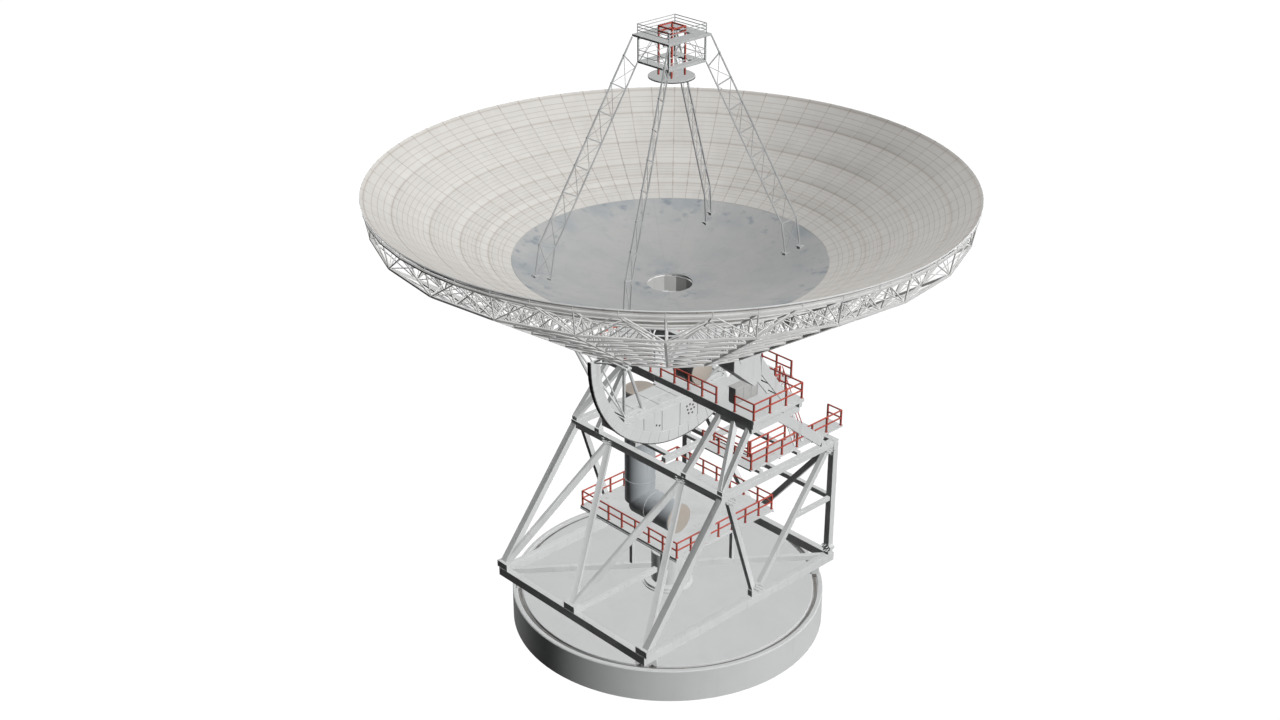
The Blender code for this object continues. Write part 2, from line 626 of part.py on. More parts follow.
def apex():
    """Two platforms with posts between them, their railing, the subreflector and its drive cage."""
    upper_x, upper_y, upper_z = 1.41, 1.59, 36.3
    lower_x, lower_y, lower_z = 1.22, 1.40, 34.85
    floor = 0.12
    upper = cut(box((-upper_x, -upper_y, upper_z), (upper_x, upper_y, upper_z + floor)),
                box((-0.7, -0.8, 36), (0.7, 0.8, 37)))
    lower = cut(box((-lower_x, -lower_y, lower_z), (lower_x, lower_y, lower_z + floor)),
                box((-0.7, -0.8, 34), (0.7, 0.8, 35.5)))
    pieces = [upper, lower]
    for sx in (-1, 1):
        for sy in (-1, 1):
            foot = (sx * (lower_x - 0.06), sy * (lower_y - 0.06), lower_z + 0.05)
            head = (sx * (lower_x - 0.06), sy * (lower_y - 0.06), upper_z + 0.1)
            pieces.append(bar(foot, head, 0.1))
    place("apex_platform", fused(pieces), ELEVATION, WHITE)
    rail_z = 36.975
    rail = 0.05
    bars = []
    for side in (-1, 1):
        bars.append(bar((side * 1.2, -1.41, rail_z), (side * 1.2, 1.41, rail_z), rail))
        bars.append(bar((-1.23, side * 1.38, rail_z), (1.23, side * 1.38, rail_z), rail))
    for x in (-1.2, 1.2):
        for y in (-1.38, 0, 1.38):
            bars.append(box((x - 0.03, y - 0.03, upper_z + floor + GAP), (x + 0.03, y + 0.03, rail_z + 0.02)))
    place("apex_rail", fused(bars), ELEVATION, WHITE)
    disc = [(0.01, 34.16), (0.01, 34.0), (1.1, 34.0), (1.28, 34.06), (1.28, 34.13), (1.24, 34.16)]
    place("subreflector", facing_out(turned(disc, 32)), ELEVATION, WHITE)
    reach = 0.5
    cage = []
    for sx in (-1, 1):
        for sy in (-1, 1):
            cage.append(bar((sx * reach, sy * reach, 34.16 + GAP), (sx * reach, sy * reach, 36.88), 0.09))
    for z in (36.55, 36.83):
        for side in (-1, 1):
            cage.append(bar((side * reach, -reach - 0.02, z), (side * reach, reach + 0.02, z), 0.06))
            cage.append(bar((-reach - 0.02, side * reach, z), (reach + 0.02, side * reach, z), 0.06))
    place("positioner_cage", fused(cage), ELEVATION, RED)


pedestal()
base()
side_faces()
towers()
decks()
railings()
machinery()
dish_surface()
back_structure()
hub()
wheel()
yoke()
legs()
apex()
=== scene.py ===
# %% [markdown]
# This file finishes a 34 m radio telescope dish around its CAD frame. The frame gives every place and
# size in metres: X runs along the elevation axis, -Y is the way the dish tips, and Z is up.

# %% load the frame
import math
from contextlib import contextmanager
import bpy
from mathutils import Matrix, Vector


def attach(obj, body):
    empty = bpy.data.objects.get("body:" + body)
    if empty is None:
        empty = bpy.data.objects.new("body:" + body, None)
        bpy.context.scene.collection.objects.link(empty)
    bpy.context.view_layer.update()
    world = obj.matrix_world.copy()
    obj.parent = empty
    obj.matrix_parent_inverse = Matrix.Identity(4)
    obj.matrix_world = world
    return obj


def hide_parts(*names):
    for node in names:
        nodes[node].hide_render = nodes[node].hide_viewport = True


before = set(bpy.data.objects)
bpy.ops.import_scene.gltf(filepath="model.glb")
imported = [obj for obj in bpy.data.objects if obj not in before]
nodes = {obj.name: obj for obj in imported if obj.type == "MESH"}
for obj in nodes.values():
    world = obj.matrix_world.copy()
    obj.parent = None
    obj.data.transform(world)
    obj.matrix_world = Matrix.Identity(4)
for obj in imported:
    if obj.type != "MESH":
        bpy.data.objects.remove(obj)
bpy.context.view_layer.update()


bpy.ops.object.select_all(action="DESELECT")

# %% [markdown]
# The camera looks down on the dish from the front right corner, as from a tall hill. A 50 mm lens
# a hundred metres away keeps the verticals nearly parallel, which suits a structure this large.

# %% camera
CAMERA_TURN = 0.7972
CAMERA_AIM = 0.8156
CAMERA_TILT = 0.4607
CAMERA_REACH = 92.037
CAMERA_HEIGHT = 62.792
lens = bpy.data.cameras.new("camera")
lens.lens = 50
lens.sensor_width = 36
lens.clip_end = 500
camera = bpy.data.objects.new("camera", lens)
bpy.context.scene.collection.objects.link(camera)
camera.location = (math.sin(CAMERA_TURN) * CAMERA_REACH, -math.cos(CAMERA_TURN) * CAMERA_REACH,
                   CAMERA_HEIGHT)
camera.rotation_euler = (math.pi / 2 - CAMERA_TILT, 0, CAMERA_AIM)
bpy.context.scene.camera = camera
print("camera at", tuple(round(v, 1) for v in camera.location))

# %% [markdown]
# Studio light for a large white object: one soft light from above, one from the right along +X, and
# weak ones from the left and behind, so that each side of a beam has its own tone. The lights throw no
# shadows, because a dish overhead would otherwise darken everything that stands beneath it. The plain
# view keeps the thin red and white bars clear against the bright background.

# %% lights
BACKDROP = 1.05   # sky and floor are just past white, so no line shows where they meet


def wire(tree, source, target):
    tree.links.new(source, target)


def sun(name, aim, strength, softness):
    light = bpy.data.lights.new(name, "SUN")
    light.energy = strength
    light.angle = math.radians(softness)
    light.use_shadow = False
    lamp = bpy.data.objects.new(name, light)
    bpy.context.scene.collection.objects.link(lamp)
    lamp.rotation_euler = (-Vector(aim)).to_track_quat("-Z", "Y").to_euler()


def shown_and_felt(tree, shown, felt, out):
    """The camera sees one shader, and light that bounces meets the other."""
    rays = tree.nodes.new("ShaderNodeLightPath")
    pick = tree.nodes.new("ShaderNodeMixShader")
    wire(tree, rays.outputs["Is Camera Ray"], pick.inputs[0])
    wire(tree, felt.outputs[0], pick.inputs[1])
    wire(tree, shown.outputs[0], pick.inputs[2])
    wire(tree, pick.outputs[0], out.inputs["Surface"])


sun("top light", (0.0, 0.05, 1.0), 2.05, 20)
sun("right light", (0.98, 0.02, 0.12), 2.75, 12)
sun("back light", (-0.1, 0.95, 0.2), 0.9, 20)
sun("left light", (-0.95, 0.1, 0.15), 1.1, 20)
world = bpy.data.worlds.new("studio")
bpy.context.scene.world = world
world.use_nodes = True
air = world.node_tree
air.nodes.clear()
sky_out = air.nodes.new("ShaderNodeOutputWorld")
sky = air.nodes.new("ShaderNodeBackground")
sky.inputs["Color"].default_value = (1, 1, 1, 1)
sky.inputs["Strength"].default_value = BACKDROP
fill = air.nodes.new("ShaderNodeBackground")
fill.inputs["Color"].default_value = (0.95, 0.97, 1, 1)
fill.inputs["Strength"].default_value = 0.02
shown_and_felt(air, sky, fill, sky_out)
bpy.context.scene.view_settings.view_transform = "Standard"
print("lights ready")

# %% [markdown]
# The floor is a plain pale sheet. It looks bright to the eye and gives the steel above it only a
# little light, so the undersides of the beams stay dark.

# %% floor
bpy.ops.mesh.primitive_plane_add(size=1600, location=(0, 0, -0.02))
floor = bpy.context.active_object
floor.name = "floor"
pale = bpy.data.materials.new("pale_floor")
pale.use_nodes = True
ground = pale.node_tree
ground.nodes.clear()
floor_out = ground.nodes.new("ShaderNodeOutputMaterial")
matt = ground.nodes.new("ShaderNodeBsdfDiffuse")
matt.inputs["Color"].default_value = (0.05, 0.05, 0.05, 1)
glow = ground.nodes.new("ShaderNodeEmission")
glow.inputs["Strength"].default_value = BACKDROP
shown_and_felt(ground, glow, matt, floor_out)
floor.data.materials.append(pale)
floor.visible_diffuse = False
print("floor", floor.dimensions.x, "m")

# %% [markdown]
# Weathering is shared by all finishes. Outdoor steel and concrete show three things: broad clouds of
# tone, rain streaks that run down, and a fine grain. One node group makes all three from Object
# coordinates, and each finish decides how much of each it takes.

# %% weathering group
def math_node(tree, kind, first, second=None):
    node = tree.nodes.new("ShaderNodeMath")
    node.operation = kind
    for socket, value in zip(node.inputs, (first, second)):
        if isinstance(value, (int, float)):
            socket.default_value = value
        elif value is not None:
            wire(tree, value, socket)
    return node.outputs[0]


def times(tree, first, second):
    return math_node(tree, "MULTIPLY", first, second)


def noise(tree, place, scale, detail, stretch=None):
    if stretch:
        turn = tree.nodes.new("ShaderNodeMapping")
        turn.inputs["Scale"].default_value = stretch
        wire(tree, place, turn.inputs["Vector"])
        place = turn.outputs[0]
    node = tree.nodes.new("ShaderNodeTexNoise")
    node.inputs["Scale"].default_value = scale
    node.inputs["Detail"].default_value = detail
    wire(tree, place, node.inputs["Vector"])
    return node.outputs["Fac"]


def ramp(tree, value, low, high, out_low=0.0, out_high=1.0):
    node = tree.nodes.new("ShaderNodeMapRange")
    node.interpolation_type = "SMOOTHSTEP"
    node.inputs["From Min"].default_value = low
    node.inputs["From Max"].default_value = high
    node.inputs["To Min"].default_value = out_low
    node.inputs["To Max"].default_value = out_high
    wire(tree, value, node.inputs["Value"])
    return node.outputs[0]


weather = bpy.data.node_groups.new("weathering", "ShaderNodeTree")
weather.interface.new_socket("Place", in_out="INPUT", socket_type="NodeSocketVector")
for label in ("Clouds", "Streaks", "Grain"):
    weather.interface.new_socket(label, in_out="OUTPUT", socket_type="NodeSocketFloat")
inside = weather.nodes.new("NodeGroupInput")
outside = weather.nodes.new("NodeGroupOutput")
place = inside.outputs["Place"]
wire(weather, ramp(weather, noise(weather, place, 0.55, 5), 0.35, 0.68), outside.inputs["Clouds"])
drips = noise(weather, place, 1.0, 4, (3.2, 3.2, 0.22))
patches = noise(weather, place, 0.8, 2)
streaks = times(weather, ramp(weather, drips, 0.52, 0.74), ramp(weather, patches, 0.4, 0.65))
wire(weather, streaks, outside.inputs["Streaks"])
wire(weather, noise(weather, place, 38.0, 3), outside.inputs["Grain"])
print("weathering group", len(weather.nodes), "nodes")

# %% [markdown]
# Each finish is a Principled shader with a clean tone, a cloudy tone, a streak tone, and a roughness
# that rises where dirt lies. The grain lifts the surface a little through a Bump node.

# %% finishes
def mix_colour(tree, factor, first, second):
    node = tree.nodes.new("ShaderNodeMix")
    node.data_type = "RGBA"
    wire(tree, factor, node.inputs[0])
    for socket, value in ((node.inputs[6], first), (node.inputs[7], second)):
        if isinstance(value, tuple):
            socket.default_value = (*value, 1)
        else:
            wire(tree, value, socket)
    return node.outputs[2]


def finish(name, clean, cloudy, streak, rough, spread, streak_share, grain, metal=0.0):
    made = bpy.data.materials.new(name)
    made.use_nodes = True
    tree = made.node_tree
    shader = tree.nodes["Principled BSDF"]
    shader.inputs["Metallic"].default_value = metal
    where = tree.nodes.new("ShaderNodeTexCoord").outputs["Object"]
    worn = tree.nodes.new("ShaderNodeGroup")
    worn.node_tree = weather
    wire(tree, where, worn.inputs["Place"])
    tone = mix_colour(tree, worn.outputs["Clouds"], clean, cloudy)
    dirt = times(tree, worn.outputs["Streaks"], streak_share)
    tone = mix_colour(tree, dirt, tone, streak)
    wire(tree, tone, shader.inputs["Base Color"])
    wire(tree, ramp(tree, worn.outputs["Clouds"], 0, 1, rough, rough + spread), shader.inputs["Roughness"])
    lift = tree.nodes.new("ShaderNodeBump")
    lift.inputs["Strength"].default_value = 0.35
    lift.inputs["Distance"].default_value = grain
    wire(tree, worn.outputs["Grain"], lift.inputs["Height"])
    wire(tree, lift.outputs[0], shader.inputs["Normal"])
    return made


WHITE = finish("white_steel", (0.70, 0.71, 0.71), (0.64, 0.65, 0.65), (0.46, 0.45, 0.43),
               0.42, 0.2, 0.5, 0.006)
LATTICE = finish("white_lattice", (0.70, 0.70, 0.69), (0.60, 0.60, 0.59), (0.52, 0.50, 0.46),
                 0.5, 0.2, 0.4, 0.004)
# A darker copy of the white paint for the legs and apex rails: painted shade, with the grey set to how thin
# bars show under this light.
LEG_SHADED_WHITE = finish("leg_white_painted_shade", (0.47, 0.48, 0.48), (0.41, 0.42, 0.42), (0.32, 0.31, 0.29),
                   0.5, 0.2, 0.4, 0.004)
# A darker copy of the white paint for the apex platforms and the subreflector: painted shade.
APEX_SHADED_WHITE = finish("apex_white_painted_shade", (0.56, 0.57, 0.57), (0.49, 0.50, 0.50), (0.38, 0.37, 0.36),
                    0.5, 0.2, 0.4, 0.004)
GREY = finish("grey_housing", (0.52, 0.52, 0.51), (0.44, 0.44, 0.43), (0.28, 0.27, 0.26),
              0.45, 0.2, 0.6, 0.006)
# Near-black finish: the wheel's running surface and the truck axles are dark steel, while on the drive drum,
# the lifting hole discs and the subreflector's underside it is painted shade.
DARK_STEEL_AND_SHADE = finish("dark_steel_and_painted_shade", (0.10, 0.10, 0.10), (0.06, 0.06, 0.06), (0.05, 0.04, 0.04),
              0.5, 0.25, 0.6, 0.006)
# The waveguide's white paint drawn darker and bluish: the bluish tint is its own, and the darkness is painted
# shade.
DUCT_TINT_AND_SHADE = finish("duct_steel_painted_shade", (0.46, 0.49, 0.51), (0.38, 0.41, 0.43), (0.26, 0.27, 0.27),
              0.42, 0.2, 0.5, 0.006)
RED = finish("red_rail", (0.52, 0.10, 0.07), (0.42, 0.07, 0.05), (0.20, 0.05, 0.03),
             0.4, 0.2, 0.5, 0.003)
CONCRETE = finish("concrete", (0.62, 0.63, 0.63), (0.605, 0.615, 0.615), (0.54, 0.54, 0.53),
                  0.85, 0.06, 0.3, 0.02)
TRACK = finish("track_steel", (0.36, 0.36, 0.35), (0.22, 0.21, 0.20), (0.16, 0.10, 0.07),
               0.35, 0.3, 0.5, 0.004, 0.7)
MIRROR = finish("mirror_plate", (0.55, 0.50, 0.44), (0.48, 0.43, 0.38), (0.36, 0.31, 0.27),
                0.3, 0.2, 0.5, 0.003, 0.2)
SEAM = finish("panel_seam", (0.30, 0.29, 0.27), (0.22, 0.21, 0.20), (0.16, 0.15, 0.14),
              0.7, 0.2, 0.5, 0.002)
DECK = finish("deck_plate", (0.68, 0.69, 0.69), (0.60, 0.61, 0.61), (0.48, 0.47, 0.45),
              0.6, 0.2, 0.6, 0.012)
print("finishes", len(bpy.data.materials))

# %% [markdown]
# A few hand tools are used for every piece: take one object, join several, turn a profile about an
# axis, and lay a bar between two points. A bar is modelled once for each section, and every member
# of a truss is a copy of it with its own mesh, stretched to length and turned into place.

# %% hand tools
@contextmanager
def editing():
    bpy.ops.object.mode_set(mode="EDIT")
    yield
    bpy.ops.object.mode_set(mode="OBJECT")


def take(*objects):
    bpy.ops.object.select_all(action="DESELECT")
    for one in objects:
        one.select_set(True)
    bpy.context.view_layer.objects.active = objects[0]
    return objects[0]


def join(name, parts):
    take(*parts)
    if len(parts) > 1:
        bpy.ops.object.join()
    whole = bpy.context.view_layer.objects.active
    whole.name = name
    whole.data.name = name
    return whole


def settle():
    """Put the active object's place, turn and scale into its mesh."""
    bpy.ops.object.transform_apply(location=True, rotation=True, scale=True)
    return bpy.context.active_object


def dress(piece, *materials):
    piece.data.materials.clear()
    for one in materials:
        piece.data.materials.append(one)
    return piece


def edges_softened(piece, width, segments=1):
    take(piece)
    step = piece.modifiers.new("edges", "BEVEL")
    step.width = width
    step.segments = segments
    step.limit_method = "ANGLE"
    bpy.ops.object.modifier_apply(modifier=step.name)
    return piece


def block(low, high, bevel=0.012):
    """A plate or box between two corners, with its edges taken off."""
    middle = [(a + b) / 2 for a, b in zip(low, high)]
    bpy.ops.mesh.primitive_cube_add(size=1, location=middle)
    bpy.context.active_object.scale = [b - a for a, b in zip(low, high)]
    piece = settle()
    if bevel:
        edges_softened(piece, bevel)
    return piece


def tube(start, end, radius, sides=16, bevel=0.0):
    bpy.ops.mesh.primitive_cylinder_add(vertices=sides, radius=radius, depth=1)
    piece = bpy.context.active_object
    piece.data.transform(between(start, end, 1, 1))
    if bevel:
        edges_softened(piece, bevel, 2)
    return piece


def between(start, end, width, depth, up=(0, 0, 1)):
    """Takes a unit bar along Z to the line from start to end."""
    start, end = Vector(start), Vector(end)
    along = (end - start).normalized()
    side = Vector(up).cross(along)
    if side.length < 0.05:
        side = Vector((0, 1, 0)).cross(along)
    side.normalize()
    turn = Matrix((side, along.cross(side), along)).transposed().to_4x4()
    size = Matrix.Diagonal((width, depth, (end - start).length, 1))
    return Matrix.Translation((start + end) / 2) @ turn @ size


def section(name, sides):
    """A unit bar along Z: round with a few sides, or square with its corners taken off."""
    if sides == 4:
        bpy.ops.mesh.primitive_cube_add(size=1)
        with editing():
            bpy.ops.mesh.select_all(action="DESELECT")
        bar = bpy.context.active_object
        for edge in bar.data.edges:
            a, b = (bar.data.vertices[i].co for i in edge.vertices)
            edge.select = abs(a.z - b.z) > 0.5
        with editing():
            bpy.ops.mesh.bevel(offset=0.06, segments=1)
    else:
        bpy.ops.mesh.primitive_cylinder_add(vertices=sides, radius=0.5, depth=1)
        bar = bpy.context.active_object
        bpy.ops.object.shade_smooth_by_angle(angle=math.radians(70))
    bar.name = name
    bar.hide_render = True
    return bar


BOX_BAR = section("box bar", 4)
PIPE = section("pipe", 6)
FINE_PIPE = section("fine pipe", 8)


def member(form, start, end, width, depth=None, up=(0, 0, 1)):
    """One truss member: a copy of a section with its own mesh."""
    bar = form.copy()
    bar.data = form.data.copy()
    bar.hide_render = False
    bpy.context.scene.collection.objects.link(bar)
    bar.data.transform(between(start, end, width, depth or width, up))
    return bar


def members(*rows):
    return [member(*row) for row in rows]


def profile_turned(name, profile, steps, sweep=360.0, first=0.0, close=True):
    """A profile of (radius, z) points extruded point by point and spun about Z."""
    bpy.ops.mesh.primitive_plane_add(size=0.1)
    piece = bpy.context.active_object
    piece.name = name
    turn = math.radians(first)
    points = [Vector((r * math.cos(turn), r * math.sin(turn), z)) for r, z in profile]
    ring = points + [points[0]] if close else points
    with editing():
        bpy.ops.mesh.merge(type="CENTER")
        bpy.ops.transform.translate(value=points[0])
        for here, there in zip(ring, ring[1:]):
            bpy.ops.mesh.extrude_region_move(TRANSFORM_OT_translate={"value": there - here})
        bpy.ops.mesh.select_all(action="SELECT")
        bpy.ops.mesh.remove_doubles(threshold=0.0002)
        bpy.ops.mesh.spin(steps=steps, angle=math.radians(sweep), center=(0, 0, 0), axis=(0, 0, 1))
        bpy.ops.mesh.select_all(action="SELECT")
        bpy.ops.mesh.remove_doubles(threshold=0.0005)
        bpy.ops.mesh.normals_make_consistent(inside=False)
    return piece


def copy_of(piece, matrix):
    other = piece.copy()
    other.data = piece.data.copy()
    bpy.context.scene.collection.objects.link(other)
    other.data.transform(matrix)
    if matrix.determinant() < 0:
        other.data.flip_normals()
    return other


def round_z(degrees):
    return Matrix.Rotation(math.radians(degrees), 4, "Z")


def smooth(piece, degrees=35):
    take(piece)
    bpy.ops.object.shade_smooth_by_angle(angle=math.radians(degrees))
    return piece


def polar(radius, degrees, z):
    turn = math.radians(degrees)
    return Vector((radius * math.cos(turn), radius * math.sin(turn), z))


def corners():
    """The four corners of the frame, each with its sides and its name."""
    for side_x, name_x in ((-1, "left"), (1, "right")):
        for side_y, name_y in ((-1, "front"), (1, "back")):
            yield side_x, side_y, name_y + "_" + name_x


def fit(piece, body, slot, *replaced):
    """Give a finished piece to its body and hide the CAD nodes that it stands for.

    Pieces don't throw light on each other, so faces turned from the lights stay dark and crisp. The slot
    argument is not used.
    """
    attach(piece, body)
    piece.visible_diffuse = False
    if replaced:
        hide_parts(*replaced)
    print(piece.name, len(piece.data.polygons), "faces")
    return piece


print("hand tools ready")

# %% [markdown]
# The reflecting surface is a paraboloid with an 11.8 m focal length. Every sector of outer panels is
# one profile spun through 60 degrees in 2.5 degree steps. The joints between panels are real V
# grooves: the edges on a joint line are bevelled into two strips, and the line between them sinks.

# %% surface shape
FOCAL = 11.8
VERTEX_Z = 21.98
RIM_R = 17.0
DISC_R = 8.9
HOLE_R = 1.3
SHEET = 0.06
JOINT_RINGS = (10.18, 11.69, 13.33, 15.33, 16.8)
ROW_RINGS = (8.9, 9.43, 9.62, 9.98, 10.18, 10.64, 10.86, 11.07, 11.29, 11.49, 11.69, 12.18, 12.41, 12.63,
             12.87, 13.1, 13.33, 13.67, 13.95, 14.22, 14.49, 14.76, 15.05, 15.33, 15.73, 16.06, 16.36, 16.8,
             17.05)


def bowl_z(radius):
    return VERTEX_Z + radius * radius / (4 * FOCAL)


def grooved(piece, rings, spokes, width, depth):
    """Sink a V groove along the rings (radii) and spokes (degrees) of a panel sheet."""
    mesh = piece.data
    take(piece)
    with editing():
        bpy.ops.mesh.select_all(action="DESELECT")

    def on_ring(co):
        radius = math.hypot(co.x, co.y)
        return any(abs(radius - ring) < 0.004 for ring in rings)

    def on_spoke(co):
        angle = math.degrees(math.atan2(co.y, co.x))
        return any(abs(angle - spoke) < 0.05 for spoke in spokes)

    for edge in mesh.edges:
        a, b = (mesh.vertices[i].co for i in edge.vertices)
        edge.select = any(test(a) and test(b) for test in (on_ring, on_spoke))
    lines = sum(edge.select for edge in mesh.edges)
    with editing():
        bpy.ops.mesh.bevel(offset=width / 2, segments=2, profile=0.5)
    for face in mesh.polygons:
        face.material_index = 1 if face.select else 0
    for vertex in mesh.vertices:
        if on_ring(vertex.co) or on_spoke(vertex.co):
            vertex.co.z -= depth
    return lines


def thickened(piece, thickness):
    """A sheet given thickness downwards, with its rim in the third finish."""
    take(piece)
    step = piece.modifiers.new("sheet", "SOLIDIFY")
    step.thickness = thickness
    step.offset = -1
    step.material_offset_rim = 2
    bpy.ops.object.modifier_apply(modifier=step.name)
    return piece


def facing_up(piece):
    take(piece)
    total = sum(face.normal.z * face.area for face in piece.data.polygons)
    if total < 0:
        piece.data.flip_normals()
    return piece


print("surface rows", len(ROW_RINGS))

# %% [markdown]
# The panel paint carries the fine rows that the grooves don't: rolled rows between the panel rings,
# lines every five degrees, and small marks where a line meets a joint. A curve maps the radius to a
# row number, so that rows of different width fall where they do on the real dish.

# %% panel finish
def line_mask(tree, value, soft):
    """1 where value is a whole number, falling to 0 within soft."""
    wave = math_node(tree, "PINGPONG", value, 0.5)
    return ramp(tree, wave, 0.0, soft, 1.0, 0.0)


def row_group(name, rings, spoke_step, spoke_shift, joints):
    group = bpy.data.node_groups.new(name, "ShaderNodeTree")
    group.interface.new_socket("Place", in_out="INPUT", socket_type="NodeSocketVector")
    for label in ("Rows", "Spokes", "Radius", "Panel", "Joints"):
        group.interface.new_socket(label, in_out="OUTPUT", socket_type="NodeSocketFloat")
    start = group.nodes.new("NodeGroupInput")
    stop = group.nodes.new("NodeGroupOutput")
    parts = group.nodes.new("ShaderNodeSeparateXYZ")
    wire(group, start.outputs["Place"], parts.inputs[0])
    across, along = parts.outputs[0], parts.outputs[1]
    square = math_node(group, "ADD", times(group, across, across),
                       times(group, along, along))
    radius = math_node(group, "SQRT", square)
    row = group.nodes.new("ShaderNodeFloatCurve")
    curve = row.mapping.curves[0]
    top = max(rings)
    spots = [(0.0, 0.0)] + [(ring / top, (i + 1) / len(rings)) for i, ring in enumerate(rings)]
    curve.points[0].location = spots[0]
    curve.points[1].location = spots[-1]
    for spot in spots[1:-1]:
        curve.points.new(*spot)
    for point in curve.points:
        point.handle_type = "VECTOR"
    row.mapping.update()
    wire(group, math_node(group, "DIVIDE", radius, top), row.inputs["Value"])
    count = times(group, row.outputs[0], float(len(rings)))
    per_spoke = 180 / math.pi / spoke_step
    angle = times(group, math_node(group, "ARCTAN2", along, across), per_spoke)
    turn = math_node(group, "ADD", angle, spoke_shift)
    wire(group, line_mask(group, count, 0.11), stop.inputs["Rows"])
    arc = math_node(group, "PINGPONG", turn, 0.5)
    metres = times(group, times(group, arc, 1 / per_spoke), radius)
    wire(group, ramp(group, metres, 0.0, 0.05, 1.0, 0.0), stop.inputs["Spokes"])
    wire(group, radius, stop.inputs["Radius"])
    bands = None
    for ring in joints:
        reach = math_node(group, "ABSOLUTE", math_node(group, "SUBTRACT", radius, ring))
        band = ramp(group, reach, 0.05, 0.13, 1.0, 0.0)
        tick = times(group, ramp(group, reach, 0.15, 0.22, 1.0, 0.0),
                         ramp(group, metres, 0.02, 0.07, 1.0, 0.0))
        both = math_node(group, "MAXIMUM", times(group, band, 0.45), tick)
        bands = both if bands is None else math_node(group, "MAXIMUM", bands, both)
    if bands is not None:
        wire(group, bands, stop.inputs["Joints"])
    cell = group.nodes.new("ShaderNodeCombineXYZ")
    wire(group, math_node(group, "FLOOR", math_node(group, "DIVIDE", count, 3.0)), cell.inputs[0])
    wire(group, math_node(group, "FLOOR", times(group, turn, 2.0)), cell.inputs[1])
    chance = group.nodes.new("ShaderNodeTexWhiteNoise")
    wire(group, cell.outputs[0], chance.inputs["Vector"])
    wire(group, chance.outputs["Value"], stop.inputs["Panel"])
    return group


def panel_finish(name, group, clean, aged, line, row_share, spoke_share, rough, stains=None):
    made = finish(name, clean, aged, tuple(0.75 * part for part in aged), rough, 0.15, 0.18, 0.004)
    tree = made.node_tree
    shader = tree.nodes["Principled BSDF"]
    tone = shader.inputs["Base Color"].links[0].from_socket
    where = next(node for node in tree.nodes if node.bl_idname == "ShaderNodeTexCoord").outputs["Object"]
    lines = tree.nodes.new("ShaderNodeGroup")
    lines.node_tree = group
    wire(tree, where, lines.inputs["Place"])
    patch = ramp(tree, lines.outputs["Panel"], 0, 1, 0.0, 0.05)
    tone = mix_colour(tree, patch, tone, line)
    for label, share, colour in (("Joints", 0.4, (0.36, 0.29, 0.25)), ("Rows", row_share, line),
                                 ("Spokes", spoke_share, line)):
        tone = mix_colour(tree, times(tree, lines.outputs[label], share), tone, colour)
    if stains:
        tone = stains(tree, where, lines.outputs["Radius"], tone)
    wire(tree, tone, shader.inputs["Base Color"])
    return made


OUTER_ROWS = row_group("outer rows", ROW_RINGS, 5.0, 0.0, (10.85,) + JOINT_RINGS)
OUTER = panel_finish("outer_panel", OUTER_ROWS, (0.63, 0.615, 0.585), (0.61, 0.595, 0.565),
                     (0.27, 0.22, 0.19), 0.40, 0.42, 0.6)
INNER_RINGS = (1.3, 2.3, 3.4, 4.6, 5.9, 7.3, 8.9)
INNER_ROWS = row_group("inner rows", INNER_RINGS, 15.0, 0.5, ())


def disc_stains(tree, where, radius, tone):
    """Bluish stains around the hole and on the outer part of the plates."""
    cloud = noise(tree, where, 0.32, 6)
    spots = noise(tree, where, 1.6, 5)
    near = ramp(tree, radius, 1.6, 3.6, 1.0, 0.15)
    far = ramp(tree, radius, 6.0, 8.4, 0.1, 0.9)
    reach = math_node(tree, "MAXIMUM", near, far)
    mask = times(tree, ramp(tree, cloud, 0.40, 0.68), reach)
    tone = mix_colour(tree, times(tree, mask, 0.75), tone, (0.27, 0.31, 0.34))
    speck = times(tree, ramp(tree, spots, 0.56, 0.72), reach)
    return mix_colour(tree, times(tree, speck, 0.75), tone, (0.20, 0.24, 0.28))


INNER = panel_finish("inner_panel", INNER_ROWS, (0.46, 0.46, 0.455), (0.42, 0.425, 0.425),
                     (0.25, 0.27, 0.28), 0.05, 0.16, 0.5, disc_stains)
print("panel finishes", OUTER.name, INNER.name)

# %% [markdown]
# The six sectors of outer panels are alike, with a gap of one or two centimetres between them. One is
# spun, grooved and thickened, and the others are copies of it turned about Z.

# %% outer panels
def sector_of_panels():
    rings = [DISC_R + 0.012, 9.5, JOINT_RINGS[0], 10.9, JOINT_RINGS[1], 12.5, JOINT_RINGS[2], 14.3,
             JOINT_RINGS[3], 16.1, JOINT_RINGS[4], RIM_R - 0.035]
    slit = 0.03
    sweep = 60 - 2 * slit
    sheet = profile_turned("sector", [(r, bowl_z(r)) for r in rings], 24, sweep, -30 + slit, close=False)
    facing_up(sheet)
    spokes = [-25, -15, -5, 5, 15, 25]
    lines = grooved(sheet, JOINT_RINGS, [s * sweep / 60 for s in spokes], 0.04, 0.014)
    print("groove edges", lines)
    dress(sheet, OUTER, SEAM, WHITE)
    thickened(sheet, SHEET)
    return smooth(sheet, 30)


panels = sector_of_panels()
for index in range(6):
    piece = panels if index == 0 else copy_of(panels, round_z(60 * index))
    piece.name = "outer_panel_sector_%d" % (index + 1)
    fit(piece, "reflector", "panel_paint", "outer_panels_%d" % (index + 1))

# %% [markdown]
# The middle of the bowl is closed with grey plates. They are one smooth sheet to the eye, with a
# faint joint every fifteen degrees in the paint, and a twelve-sided steel tube lines the hole.

# %% inner plates and hole
def half_disc():
    rings = [HOLE_R, 1.8, INNER_RINGS[1], 2.8, INNER_RINGS[2], 4.0, INNER_RINGS[3], 5.2, INNER_RINGS[4], 6.6,
             INNER_RINGS[5], 8.1, DISC_R]
    sheet = profile_turned("half disc", [(r, bowl_z(r)) for r in rings], 60, 179.96, -89.98, close=False)
    facing_up(sheet)
    dress(sheet, INNER, SEAM, GREY)
    thickened(sheet, 0.1)
    return smooth(sheet, 30)


